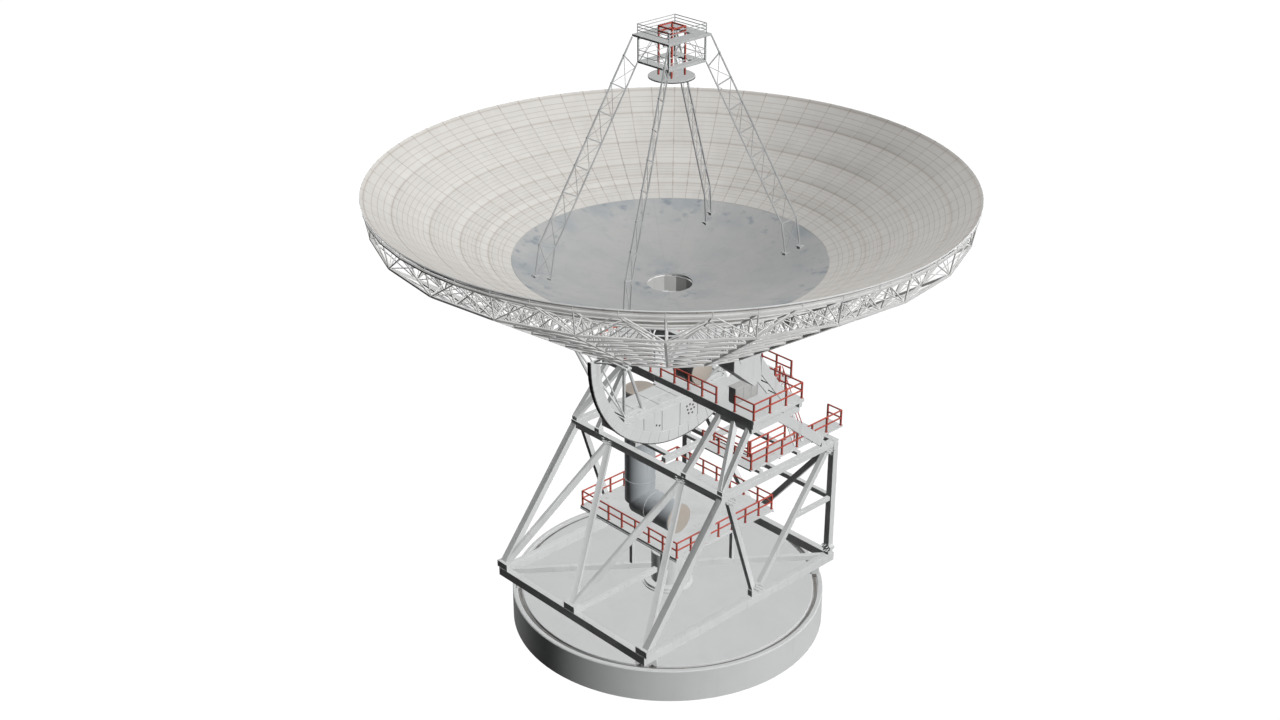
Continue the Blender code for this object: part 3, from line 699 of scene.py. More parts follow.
plates = half_disc()
for index in range(2):
    piece = plates if index == 0 else copy_of(plates, round_z(180))
    piece.name = "inner_plates_%d" % (index + 1)
    fit(piece, "reflector", "inner_paint", "inner_panels_%d" % (index + 1))
lining = profile_turned("hole_lining", [(1.31, 20.97), (1.38, 20.97), (1.38, 21.86), (1.31, 21.86)], 12)
collar = profile_turned("hole_collar", [(1.31, 20.9), (1.55, 20.9), (1.55, 20.97), (1.31, 20.97)], 12)
lining = edges_softened(join("hole_lining", [lining, collar]), 0.008)
fit(dress(lining, GREY), "reflector", "white_paint", "centre_tube")

# %% [markdown]
# Behind the panels stand 24 main ribs and 24 light ones, tied by seven rings. Each main rib is a
# truss between an upper chord under the panels and a lower chord that runs down to the hub ring.
# One fifteen degree bay holds one main rib, one light rib and the ring members between them, so the
# bay is built once, and the rest are copies turned about Z.

# %% back structure
RIB_R = [7.65, 9.14, 10.63, 12.12, 13.62, 15.11, 16.6]
TOP_R = [8.25, 9.7, 11.2, 12.7, 14.2, 15.6, 16.86]
HUB_Z = 20.5
OUTER_RING_Z = 26.3
EDGE_R = 16.9
PURLIN_R = (9.0, 10.18, 11.69, 13.33, 15.33, 16.6)
CHORD_DROP = 0.26
BAY = 15.0


def low_node(step, degrees):
    share = (RIB_R[step] - RIB_R[0]) / (RIB_R[-1] - RIB_R[0])
    return polar(RIB_R[step], degrees, HUB_Z + share * (OUTER_RING_Z - HUB_Z))


def top_node(step, degrees):
    return polar(TOP_R[step], degrees, bowl_z(TOP_R[step]) - CHORD_DROP)


def rib_bay():
    bars = []
    half = BAY / 2
    last = len(RIB_R) - 1
    for step in range(last):
        after = step + 1
        bars += members((BOX_BAR, low_node(step, 0), low_node(after, 0), 0.13),
                        (BOX_BAR, top_node(step, 0), top_node(after, 0), 0.11),
                        (PIPE, top_node(step, 0), low_node(after, 0), 0.085),
                        (PIPE, top_node(step, half), top_node(after, half), 0.09),
                        (PIPE, low_node(step, 0), low_node(after, BAY), 0.07),
                        (PIPE, low_node(after, 0), low_node(step, BAY), 0.07))
    for step in range(last + 1):
        ring_size = 0.12 if step in (0, last) else 0.095
        bars += members((PIPE, low_node(step, 0), top_node(step, 0), 0.085),
                        (PIPE, low_node(step, 0), top_node(step, half), 0.08),
                        (PIPE, low_node(step, BAY), top_node(step, half), 0.08),
                        (BOX_BAR, low_node(step, 0), low_node(step, BAY), ring_size),
                        (PIPE, top_node(step, 0), top_node(step, half), 0.085),
                        (PIPE, top_node(step, half), top_node(step, BAY), 0.085))
    for step in range(last):
        bars += members((PIPE, top_node(step, half), low_node(step + 1, 0), 0.06),
                        (PIPE, top_node(step, half), low_node(step + 1, BAY), 0.06))

    def under(radius, turn, drop):
        return polar(radius, turn, bowl_z(radius) - drop)

    for turn in (0, half):
        bars += members((BOX_BAR, under(EDGE_R, turn, 0.34), under(EDGE_R, turn + half, 0.34), 0.07, 0.10),
                        (PIPE, under(EDGE_R, turn, 0.34), under(EDGE_R, turn, 0.07), 0.05))
        bars += members(*[(BOX_BAR, under(radius, turn, 0.115), under(radius, turn + half, 0.115), 0.06, 0.09)
                          for radius in PURLIN_R])
    return join("bay", bars)


bay = rib_bay()
print("members in a bay", len(bay.data.polygons))
sector = join("sector ribs", [bay] + [copy_of(bay, round_z(BAY * turn)) for turn in (1, 2, 3)])
sector.data.transform(round_z(-30))
dress(sector, LATTICE)
for index in range(6):
    piece = sector if index == 0 else copy_of(sector, round_z(60 * index))
    piece.name = "rib_sector_%d" % (index + 1)
    fit(piece, "reflector", "white_paint", "back_structure_%d" % (index + 1))

# %% [markdown]
# The hub is the stiff floor that the ribs stand on: a grid of I beams inside the hub ring, tied to
# the ring by spokes, with two bearing brackets that hang down to the elevation axis.

# %% hub
AXIS_Z = 19.35


def i_beam(low, high, flange=0.05):
    """A beam between two corners with flanges above and below a thinner web."""
    thin = 1 if high[0] - low[0] > high[1] - low[1] else 0
    inset = [(high[axis] - low[axis]) * 0.32 if axis == thin else 0 for axis in range(3)]
    return [block([a + b for a, b in zip(low, inset)], [a - b for a, b in zip(high, inset)]),
            block(low, (high[0], high[1], low[2] + flange)), block((low[0], low[1], high[2] - flange), high)]


def hub():
    parts = []
    low, high = HUB_Z - 0.1, 21.3
    for x in (-4.6, 4.6):
        parts += i_beam((x - 0.2, -5.6, low), (x + 0.2, 5.6, high))
    for x in (-1.15, 1.15):
        parts += i_beam((x - 0.18, -7.2, low + 0.02), (x + 0.18, 7.2, high - 0.35))
    for y in (-3.2, 3.2):
        parts += i_beam((-6.6, y - 0.2, low + 0.04), (6.6, y + 0.2, high - 0.04))
    for side in (-1, 1):
        x = side * 4.25
        parts += [block((x - 0.25, -0.7, AXIS_Z - 0.45), (x + 0.25, 0.7, high - 0.02), 0.05),
                  tube((side * 4.1, 0, AXIS_Z), (side * 5.9, 0, AXIS_Z), 0.35, 32, 0.02),
                  tube((side * 4.42, 0, AXIS_Z), (side * 4.56, 0, AXIS_Z), 0.42, 32, 0.02)]
    for spoke in range(24):
        turn = spoke * BAY
        ring = polar(RIB_R[0], turn, HUB_Z + 0.05)
        before, after = polar(6.2, turn - BAY / 2, 21.6), polar(6.2, turn + BAY / 2, 21.6)
        parts += members((PIPE, ring, after, 0.09), (PIPE, ring, before, 0.09), (PIPE, before, after, 0.1),
                         (PIPE, after, polar(2.2, turn + BAY / 2, 21.55), 0.09))
        if spoke % 2:
            inner = polar(3.4, turn, HUB_Z + 0.1)
            parts += members((PIPE, ring, inner, 0.1), (PIPE, inner, polar(3.4, turn + 30, HUB_Z + 0.1), 0.1))
    return dress(join("hub_beams", parts), WHITE)


fit(hub(), "reflector", "white_paint", "hub_frame")

# %% [markdown]
# The elevation wheel is a rolled rim of plates, bolted end to end, with a dark running surface. The
# counterweight is a steel box filled with scrap, so it shows plate seams, a top flange and a few holes
# for lifting, drawn as near-black discs that are painted shade in place of real openings. Both are flat
# outlines extruded along X.

# %% wheel and counterweight
WHEEL_R = 6.93
WHEEL_IN = 6.18
WHEEL_X = 0.95
WEIGHT_X = -1.25
WEIGHT_TOP = 15.0
WEIGHT_Y = 4.2
PLATE_STEP = 7.0


def plate_yz(outline, x_low, x_high, bevel=0.012):
    """A flat outline of (y, z) given thickness along X."""
    mesh = bpy.data.meshes.new("plate")
    mesh.from_pydata([(x_high, y, z) for y, z in outline], [], [list(range(len(outline)))])
    piece = bpy.data.objects.new("plate", mesh)
    bpy.context.scene.collection.objects.link(piece)
    take(piece)
    with editing():
        bpy.ops.mesh.select_all(action="SELECT")
        bpy.ops.mesh.extrude_region_move(TRANSFORM_OT_translate={"value": (x_low - x_high, 0, 0)})
        bpy.ops.mesh.select_all(action="SELECT")
        bpy.ops.mesh.normals_make_consistent(inside=False)
    if bevel:
        edges_softened(piece, bevel)
    return piece


def wheel_point(radius, degrees):
    turn = math.radians(degrees)
    return (radius * math.cos(turn), AXIS_Z + radius * math.sin(turn))


def wheel_plate():
    """One seven degree plate of the wheel rim, with a raised edge rail and a rib at the joint."""
    span = [i * PLATE_STEP / 4 for i in range(5)]
    share = (PLATE_STEP - 0.1) / PLATE_STEP
    outer = [wheel_point(WHEEL_R - 0.05, 180 + a * share) for a in span]
    inner = [wheel_point(WHEEL_IN, 180 + a * share) for a in reversed(span)]
    face = plate_yz(outer + inner, WHEEL_X - 0.22, WHEEL_X, 0.01)
    outer = [wheel_point(WHEEL_R, 180 + a) for a in span]
    inner = [wheel_point(WHEEL_R - 0.06, 180 + a) for a in reversed(span)]
    rail = plate_yz(outer + inner, WHEEL_X - 0.25, WHEEL_X, 0)
    ends = [wheel_point(WHEEL_R - 0.1, 183.2), wheel_point(WHEEL_R - 0.1, 183.8),
            wheel_point(WHEEL_IN + 0.05, 183.8), wheel_point(WHEEL_IN + 0.05, 183.2)]
    rib = plate_yz(ends, WHEEL_X - 0.25, WHEEL_X - 0.2, 0)
    for part in (face, rail, rib):
        dress(part, WHITE, DARK_STEEL_AND_SHADE)
    for side in rail.data.polygons:
        side.material_index = 1
    return join("wheel plate", [face, rail, rib])


first = wheel_plate()
axis_in = Matrix.Translation((0, 0, AXIS_Z))


def about_axis(degrees):
    return axis_in @ Matrix.Rotation(math.radians(degrees), 4, "X") @ axis_in.inverted()


plates = [first] + [copy_of(first, about_axis(PLATE_STEP * turn)) for turn in range(1, 20)]
wheel = join("elevation_wheel_rim", plates)
wheel.data.transform(about_axis(-2))
fit(wheel, "reflector", "white_paint", "elevation_wheel")


# Spots of the holes for lifting; each is drawn as a near-black disc, painted shade in place of an opening.
LIFTING_HOLES = ((0.55, 14.25), (0.8, 14.3), (1.05, 14.2), (0.62, 14.0), (0.9, 13.95), (1.15, 13.98),
                 (0.7, 13.75), (1.0, 13.7), (-1.9, 13.9), (-1.65, 13.8))


def weight():
    reach = math.degrees(math.asin(WEIGHT_Y / (WHEEL_R - 0.06)))
    arc = [wheel_point(WHEEL_R - 0.06, 270 - reach + 2 * reach * i / 24) for i in range(25)]
    lid = [(WEIGHT_Y - 0.02, WEIGHT_TOP - 0.03), (-WEIGHT_Y + 0.02, WEIGHT_TOP - 0.03)]
    parts = [plate_yz(lid + arc, WEIGHT_X + 0.02, WHEEL_X - 0.27, 0.02)]
    inner = WHEEL_IN - 0.02
    seams = [-4.2, -2.9, -1.45, 0, 1.45, 2.9, 4.2]
    for a, b in zip(seams, seams[1:]):
        for x_low, x_high in ((WEIGHT_X, -0.2), (-0.17, WHEEL_X - 0.26)):
            parts.append(block((x_low, a + 0.02, WEIGHT_TOP - 0.05), (x_high, b - 0.02, WEIGHT_TOP), 0.01))
        ys = [a + 0.015 + (b - a - 0.03) * i / 6 for i in range(7)]
        face_line = [(ys[0], WEIGHT_TOP - 0.3), (ys[-1], WEIGHT_TOP - 0.3)]
        face_line += [(y, AXIS_Z - math.sqrt(inner ** 2 - y * y)) for y in reversed(ys)]
        if min(z for _, z in face_line[2:]) < WEIGHT_TOP - 0.35:
            parts.append(plate_yz(face_line, WHEEL_X - 0.27, WHEEL_X - 0.015, 0.008))
    flange_low, flange_high = WEIGHT_TOP - 0.3, WEIGHT_TOP - 0.22
    parts.append(block((WHEEL_X - 0.27, -WEIGHT_Y, flange_low), (WHEEL_X, WEIGHT_Y, flange_high), 0.01))
    whole = dress(join("counterweight_box", parts), WHITE, DARK_STEEL_AND_SHADE)
    # Near-black discs at the hole spots: painted shade in place of real openings.
    holes = [tube((WHEEL_X - 0.03, y, z), (WHEEL_X - 0.008, y, z), 0.07, 12) for y, z in LIFTING_HOLES]
    marks = dress(join("painted lifting hole shade", holes), DARK_STEEL_AND_SHADE)
    return join("counterweight_box", [whole, marks])


fit(weight(), "reflector", "white_paint", "counterweight")


def yoke():
    """Tubes that tie the wheel and counterweight to the hub, on two cross beams and a back rail."""
    seat = WEIGHT_TOP + 0.003
    back = WEIGHT_X - 0.18
    parts = [block((WEIGHT_X - 0.2, -4.2, 14.6), (WEIGHT_X - 0.003, 4.2, 14.85))]
    for side in (-1, 1):
        near, far = sorted((side * 2.5, side * 4.0))
        y, head = side * 4, side * 6.6
        parts += [block((WEIGHT_X - 0.19, y - 0.19, 14.61), (WEIGHT_X - 0.01, y + 0.19, seat + 0.22)),
                  block((back, y - 0.2, seat), (0.65, y + 0.2, seat + 0.05)),
                  block((back, y - 0.2, seat + 0.18), (0.65, y + 0.2, seat + 0.23)),
                  block((back, y - 0.1, seat), (0.65, y + 0.1, seat + 0.22)),
                  block((0.35, near, seat), (0.55, far, seat + 0.2))]
        parts += members((FINE_PIPE, (3.55, head, 20.3), (0.45, side * 2.6, seat + 0.12), 0.2),
                         (FINE_PIPE, (3.35, side * 6.65, 20.31), (0.46, y, seat + 0.13), 0.18),
                         (FINE_PIPE, (-1.1, head, 20.3), (-1.1, y, seat + 0.12), 0.2),
                         (FINE_PIPE, (-1.1, head, 20.3), (0.4, y, seat + 0.15), 0.12))
        parts += i_beam((-1.33, head - 0.2, 20.15), (3.65, head + 0.2, 20.39))
    for end in ((0.53, -7.0, 20.4), (2.13, -6.7, 20.38), (3.4, -6.6, 20.3)):
        parts.append(member(FINE_PIPE, (0.82, -6.6, 19.5), end, 0.12))
    parts += members((FINE_PIPE, (0.82, -5.9, 18.8), (0.82, -4.25, 15.2), 0.1),
                     (FINE_PIPE, (0.82, 5.9, 18.0), (0.82, 4.25, 15.2), 0.1))
    for side in (-1, 1):
        head, foot = side * 6.6, side * 2.6
        parts += [block((3.3, head - 0.22, 20.1), (3.7, head + 0.22, 20.16)),
                  block((0.3, foot - 0.2, seat + 0.19), (0.62, foot + 0.2, seat + 0.24))]
    return dress(join("wheel_frame", parts), WHITE)


fit(yoke(), "reflector", "white_paint", "wheel_yoke")

# %% [markdown]
# Each leg of the apex frame is a flat truss of two chords. Eight cross members tie them, every bay is
# crossed by two thin rods, and the chords turn upright at the knee and stand on short feet.

# %% legs
OUTER_CHORD = [(3.57, 6.88, 23.40), (3.46, 6.64, 25.14), (1.37, 1.60, 36.28)]
INNER_CHORD = [(3.20, 6.07, 23.10), (3.09, 5.82, 24.86), (1.2, 1.40, 34.84)]
OUTER_NODES = (35.31, 33.87, 32.41, 30.97, 29.52, 28.06, 26.61, 25.18)
INNER_NODES = (34.60, 33.46, 31.97, 30.59, 29.08, 27.68, 26.2, 24.88)


def at_height(line, z):
    low, high = Vector(line[1]), Vector(line[2])
    return low.lerp(high, (z - low.z) / (high.z - low.z))


def foot_plate(foot, half, low, high):
    x, y, z = foot
    return block((x - half, y - half, z + low), (x + half, y + half, z + high), 0.01)


def leg():
    parts = []
    for line, size in ((OUTER_CHORD, 0.08), (INNER_CHORD, 0.07)):
        parts += members((BOX_BAR, line[0], line[1], size), (BOX_BAR, line[1], line[2], size))
        parts += [foot_plate(line[0], 0.17, -0.06, 0), foot_plate(line[0], 0.12, -0.22, -0.05)]
    outer = [at_height(OUTER_CHORD, z) for z in OUTER_NODES] + [Vector(OUTER_CHORD[0])]
    inner = [at_height(INNER_CHORD, z) for z in INNER_NODES] + [Vector(INNER_CHORD[0])]
    for here, there in zip(outer[:-1], inner[:-1]):
        parts.append(member(BOX_BAR, here, there, 0.06))
        parts.append(block([c - 0.055 for c in here], [c + 0.055 for c in here], 0.015))
    for step in range(len(outer) - 1):
        parts += members((PIPE, outer[step], inner[step + 1], 0.035),
                         (PIPE, inner[step], outer[step + 1], 0.035))
    return dress(join("leg", parts), LEG_SHADED_WHITE)


leg_master = leg()
for side_x, side_y, name in corners():
    one = copy_of(leg_master, Matrix.Diagonal((side_x, side_y, 1, 1)))
    one.name = "apex_leg_" + name
    fit(one, "reflector", "white_paint", "leg_" + name)
bpy.data.objects.remove(leg_master)

# %% [markdown]
# At the apex two platforms carry people around the subreflector drive. The upper one has three rails
# and the lower one two, and a red cage of four posts guides the drive between them.

# %% apex
PLATFORM_Z = 36.3
LOWER_PLATFORM_Z = 34.85
POST_X, POST_Y = 1.17, 1.35


def ring_floor(x, y, z):
    """A platform 12 cm thick around the opening in its middle."""
    hole_x, hole_y, thick = 0.72, 0.82, 0.12
    parts = []
    for side in (-1, 1):
        low, high = sorted((side * hole_x, side * x))
        parts.append(block((low, -y, z), (high, y, z + thick)))
        low, high = sorted((side * hole_y, side * y))
        parts.append(block((-hole_x, low, z + 0.003), (hole_x, high, z + thick - 0.003)))
    return parts


def rails_around(x, y, z, heights, posts_x, posts_y, size):
    parts = []
    for height in heights:
        up = z + height
        for side in (-1, 1):
            parts += members((FINE_PIPE, (side * x, -y, up), (side * x, y, up), size),
                             (FINE_PIPE, (-x, side * y, up), (x, side * y, up), size))
    top = z + heights[-1] + size / 2
    spots = [(side * x, y * share) for side in (-1, 1) for share in posts_y]
    spots += [(x * share, side * y) for side in (-1, 1) for share in posts_x]
    return parts + members(*[(FINE_PIPE, (*spot, z), (*spot, top), size) for spot in spots])


platforms = ring_floor(1.41, 1.59, PLATFORM_Z) + ring_floor(1.22, 1.4, LOWER_PLATFORM_Z)
for side_x in (-1, 1):
    for side_y in (-1, 1):
        x, y = side_x * POST_X, side_y * POST_Y
        foot = (x, y, LOWER_PLATFORM_Z + 0.01)
        platforms += members((BOX_BAR, foot, (x, y, 36.4), 0.085), (PIPE, foot, (x, 0, 36.33), 0.04),
                             (PIPE, foot, (0, y, 36.33), 0.04))
    platforms.append(block((side_x * 0.95 - 0.05, -1.55, 36.2), (side_x * 0.95 + 0.05, 1.55, PLATFORM_Z)))
platforms += rails_around(1.19, 1.37, 34.97, (0.3, 0.6), (-0.35, 0.35), (-1, 1), 0.045)
fit(dress(join("apex_platforms", platforms), APEX_SHADED_WHITE), "reflector", "white_paint", "apex_platform")
rails = rails_around(1.2, 1.38, 36.42, (0.2, 0.38, 0.55), (), (-1, 1), 0.05)
fit(dress(join("apex_rails", rails), LEG_SHADED_WHITE), "reflector", "white_paint", "apex_rail")
dish = profile_turned("subreflector_dish", [(0.02, 34.0), (1.1, 34.0), (1.28, 34.06), (1.28, 34.13),
                                            (1.24, 34.16), (0.5, 34.165), (0.02, 34.165)], 64)
dress(dish, APEX_SHADED_WHITE, DARK_STEEL_AND_SHADE)
# The rim band and the faces that turn down take the near-black finish; on the faces that turn down it is
# painted shade.
for face in dish.data.polygons:
    if math.hypot(face.center.x, face.center.y) > 1.26 or face.normal.z < -0.5:
        face.material_index = 1
fit(smooth(dish), "reflector", "white_paint", "subreflector")
DRIVE_LOW = 34.17
cage = members(*[(BOX_BAR, (x, y, DRIVE_LOW), (x, y, 36.87), 0.09) for x in (-0.5, 0.5) for y in (-0.5, 0.5)])
for z in (36.55, 36.83):
    for side in (-0.5, 0.5):
        cage += members((BOX_BAR, (side, -0.54, z), (side, 0.54, z), 0.075),
                        (BOX_BAR, (-0.54, side, z), (0.54, side, z), 0.075))
fit(dress(join("drive_cage", cage), RED), "reflector", "red_paint", "positioner_cage")
screw = [tube((x, y, DRIVE_LOW), (x, y, 36.4), 0.05, 16, 0.01)
         for x, y in ((-0.15, -0.12), (0, 0), (0.15, 0.12))]
screw += [tube((0, 0, DRIVE_LOW), (0, 0, 34.4), 0.3, 24, 0.02),
          tube((0, 0, 36.0), (0, 0, 36.15), 0.36, 24, 0.02)]
fit(dress(join("drive_screws", screw), GREY), "reflector", "grey_paint")

# %% [markdown]
# The pedestal is a ring of cast concrete with a roof slab set into it and a steel track at its edge.
# Round parts like these are one profile each, spun about Z in fine steps so that they stay round.

# %% pedestal
wall = profile_turned("pedestal_ring", [(8.6, 0), (9.48, 0), (9.51, 0.03), (9.51, 2.03), (9.46, 2.08),
                                        (9.25, 2.08), (9.22, 2.05), (9.22, 1.85), (8.6, 1.85)], 128)
fit(smooth(dress(wall, CONCRETE), 40), "pedestal", "concrete", "pedestal_wall")
slab = [(0.7, 1.851), (8.93, 1.851), (8.93, 2.01), (8.9, 2.04), (0.7, 2.04)]
roof = profile_turned("pedestal_roof_slab", slab, 128)
fit(smooth(dress(roof, CONCRETE), 40), "pedestal", "concrete", "pedestal_roof")
track = [(8.95, 1.851), (9.19, 1.851), (9.19, 1.88), (9.13, 1.90), (9.13, 1.95), (9.11, 1.97), (9.01, 1.97),
         (8.99, 1.95), (8.99, 1.90), (8.95, 1.88)]
rail = profile_turned("wheel_track", track, 128)
fit(smooth(dress(rail, TRACK), 40), "pedestal", "track_steel", "azimuth_track")
collar = [(0.72, 2.041), (1.55, 2.041), (1.55, 2.12), (1.47, 2.14), (1.44, 2.3), (0.72, 2.3)]
ring = profile_turned("bearing_collar", collar, 64)
fit(smooth(dress(ring, WHITE), 30), "pedestal", "white_paint", "azimuth_collar")

# %% [markdown]
# A truck carries each corner of the base on two wheels that run along the track. A truck is made
# once, standing on the +X side, and four copies are turned to their corners.

# %% wheel trucks
TRACK_R = 9.06


def truck():
    low, high = 2.3, 2.955
    parts = [block((-0.24, -0.6, 2.52), (0.24, 0.6, high), 0.02),
             block((-0.26, -0.62, high - 0.06), (0.26, 0.62, high), 0.01)]
    for side in (-1, 1):
        x, y, end = side * 0.2, side * 0.36, side * 0.6
        parts += [block((x - 0.03, -0.6, low), (x + 0.03, 0.6, 2.6), 0.01),
                  dress(tube((-0.1, y, 2.216), (0.1, y, 2.216), 0.24, 32, 0.015), TRACK),
                  dress(tube((-0.25, y, low), (0.25, y, low), 0.09, 16, 0.01), DARK_STEEL_AND_SHADE),
                  block((-0.2, end - 0.02, 2.35), (0.2, end + 0.02, 2.8), 0.01)]
    for part in parts:
        if not part.data.materials:
            dress(part, WHITE)
    return join("truck", parts)


truck_master = truck()
for side_x, side_y, name in corners():
    turn = math.degrees(math.atan2(side_y * 7.1, side_x * 5.63))
    one = copy_of(truck_master, round_z(turn) @ Matrix.Translation((TRACK_R, 0, 0)))
    one.name = "track_truck_" + name
    fit(one, "alidade", "white_paint", "wheel_truck_" + name)
bpy.data.objects.remove(truck_master)

# %% [markdown]
# The large frames of the alidade already have the right shape in the CAD, but every edge there is
# razor sharp. A copy of each is merged, and its edges are taken off by a centimetre, as on welded box
# sections. Gusset plates with bolts are added where members meet.

# %% welded frames and decks
def welded(name, finish_of, slot_of, width):
    piece = nodes[name].copy()
    piece.data = nodes[name].data.copy()
    piece.name = name + "_welded"
    piece.parent = None
    for key in list(piece.keys()):
        del piece[key]
    bpy.context.scene.collection.objects.link(piece)
    take(piece)
    with editing():
        bpy.ops.mesh.select_all(action="SELECT")
        bpy.ops.mesh.customdata_custom_splitnormals_clear()
        bpy.ops.mesh.remove_doubles(threshold=0.0004)
    edges_softened(piece, width)
    smooth(dress(piece, finish_of), 30)
    return fit(piece, "alidade", slot_of, name)


for name in ("base_frame", "front_truss", "back_truss", "side_truss_left", "side_truss_right", "tower_left",
             "tower_right", "drive_girder"):
    welded(name, WHITE, "white_paint", 0.012)
for name in ("top_deck_left", "top_deck_right", "lower_deck", "upper_walk"):
    welded(name, DECK, "white_paint", 0.006)


def gusset(centre, across, up, width, height, thick):
    """A plate with its corners cut, and eight bolts, that stands against a joint."""
    bpy.ops.mesh.primitive_cylinder_add(vertices=8, radius=0.5, depth=1)
    plate = bpy.context.active_object
    plate.data.transform(round_z(22.5))
    bolts = []
    for spot in (polar(0.36, turn * 45, 0) for turn in range(8)):
        bolts.append(tube(spot, (spot.x, spot.y, 1.1), 0.035, 6))
    whole = join("gusset", [plate] + bolts)
    side, top = Vector(across), Vector(up)
    turn = Matrix((side, top, side.cross(top))).transposed().to_4x4()
    whole.data.transform(Matrix.Translation(centre) @ turn @ Matrix.Diagonal((width, height, thick, 1)))
    return whole


plates = []
front_lean = Vector((0, 5.98, 7.99)).normalized()
for x in (-3.15, 3.1):
    plates.append(gusset((x, -1.85, 11.18), (1, 0, 0), front_lean, 0.8, 0.55, 0.42))
for x in (-6.2, 0, 6.2):
    plates.append(gusset((x, 7.7, 3.98), (1, 0, 0), (0, 0, 1), 0.75, 0.5, 0.41))
for x in (-6.2, 6.2):
    for y, z in ((1.2, 4.02), (-1.35, 11.0), (7.15, 11.0)):
        plates.append(gusset((x, y, z), (0, 1, 0), (0, 0, 1), 0.65, 0.5, 0.4))
fit(dress(join("gusset_plates", plates), WHITE), "alidade", "white_paint")

# %% [markdown]
# Every railing is a top rail and a knee rail of red pipe on posts with foot plates. The paths follow
# the deck edges, and a path is cut where a real railing leaves a gap.

# %% railings
def railing(paths, z):
    parts = []
    for path in paths:
        posts = [path[0]]
        for (ax, ay), (bx, by) in zip(path, path[1:]):
            start, end = Vector((ax, ay, z)), Vector((bx, by, z))
            reach = (end - start).normalized() * 0.03
            for height in (0.5, 1.0):
                lift = Vector((0, 0, height))
                parts.append(member(FINE_PIPE, start + lift - reach, end + lift + reach, 0.1))
            count = max(1, round((end - start).length / POST_SPACING))
            posts += [start.lerp(end, s / count)[:2] for s in range(1, count + 1)]
        for x, y in posts:
            parts.append(member(BOX_BAR, (x, y, z + 0.002), (x, y, z + 1.03), 0.1))
            parts.append(block((x - 0.08, y - 0.08, z + 0.001), (x + 0.08, y + 0.08, z + 0.02), 0))
    return parts


DECK_Z = 15.5
LOWER_DECK_Z = 5.6
WALK_Z = 11.85
POST_SPACING = 1.25
rails = {
    "top_rail_right": ([[(-1.1, 0.4), (3.45, 0.4)], [(4.9, 0.4), (6.38, 0.4), (6.38, 4.4), (3.85, 4.4)],
                        [(4.1, 6.0), (1.75, 6.0)], [(4.1, 5.0), (4.1, 4.6)]], DECK_Z),
    "top_rail_left": ([[(-2.0, 0.4), (-6.38, 0.4), (-6.38, 4.4), (-4.1, 4.4), (-4.1, 6.0), (-1.75, 6.0)]],
                      DECK_Z),
    "lower_rail": ([[(2.6, 6.4), (2.6, -1.8), (-5.75, -1.8), (-5.75, 6.4), (2.6, 6.4)]],
                   LOWER_DECK_Z),
    "walk_rail": ([[(1.85, 1.0), (5.75, 1.0), (5.75, 8.8), (4.7, 8.8)], [(4.68, 2.05), (4.68, 5.0)],
                   [(1.85, 1.95), (4.6, 1.95)]], WALK_Z),
}
for name, (paths, z) in rails.items():
    piece = dress(join("red_" + name, railing(paths, z)), RED)
    fit(piece, "alidade", "red_paint", name)

# %% [markdown]
# Under the decks run joists, and an edge channel closes each side. A stair of twelve treads climbs
# from the walkway to the top deck between two stringers.

# %% joists, edges and stair
joists = []
for side in (-1, 1):
    low, high = sorted((side * 1.7, side * 6.38))
    for y in (1.35, 2.35, 3.35):
        joists.append(block((low, y - 0.05, 15.22), (high, y + 0.05, 15.418), 0.006))
    edge_low, edge_high = sorted((side * 6.452, side * 6.5))
    joists.append(block((edge_low, 0.3, 15.28), (edge_high, 4.5, 15.5), 0.006))
for y in (-1.9, 6.5):
    joists.append(block((-5.85, y - 0.03, 5.36), (2.7, y + 0.03, 5.437), 0.006))
for x in (-4.5, -2.9, -0.9, 0.9):
    joists.append(block((x - 0.06, 2.0, 5.26), (x + 0.06, 6.4, 5.438), 0.006))
for y in (2.0, 3.4, 4.8, 6.2, 7.6):
    joists.append(block((4.62, y - 0.04, 11.64), (5.83, y + 0.04, 11.748), 0.006))
fit(dress(join("deck_joists", joists), WHITE), "alidade", "white_paint")


def stair():
    foot, head = Vector((5.55, 5.25, 11.86)), Vector((3.6, 5.25, 15.42))
    parts = []
    for y in (4.95, 5.6):
        parts.append(member(BOX_BAR, (foot.x, y, foot.z), (head.x, y, head.z), 0.05, 0.2, (0, 1, 0)))
    for step in range(1, 13):
        x, _, z = foot.lerp(head, step / 13)
        parts.append(block((x - 0.13, 4.97, z - 0.015), (x + 0.13, 5.58, z + 0.015), 0.004))
    return parts


fit(dress(join("stair", stair()), DECK), "alidade", "white_paint")
hand = []
for y in (4.95, 5.6):
    for lift in (0.5, 1.0):
        hand.append(member(FINE_PIPE, (5.55, y, 11.86 + lift), (3.75, y, 15.15 + lift), 0.06))
    for share in (0.05, 0.5, 0.95):
        x, z = 5.55 - 1.8 * share, 11.86 + 3.29 * share
        hand.append(member(FINE_PIPE, (x, y, z), (x, y, z + 1.0), 0.06))
fit(dress(join("stair_rails", hand), RED), "alidade", "red_paint")

# %% [markdown]
# The beam waveguide is a steel tube that comes down from the dish, turns level at a corner and ends at
# a mirror plate. A flange marks each joint between two lengths of tube.

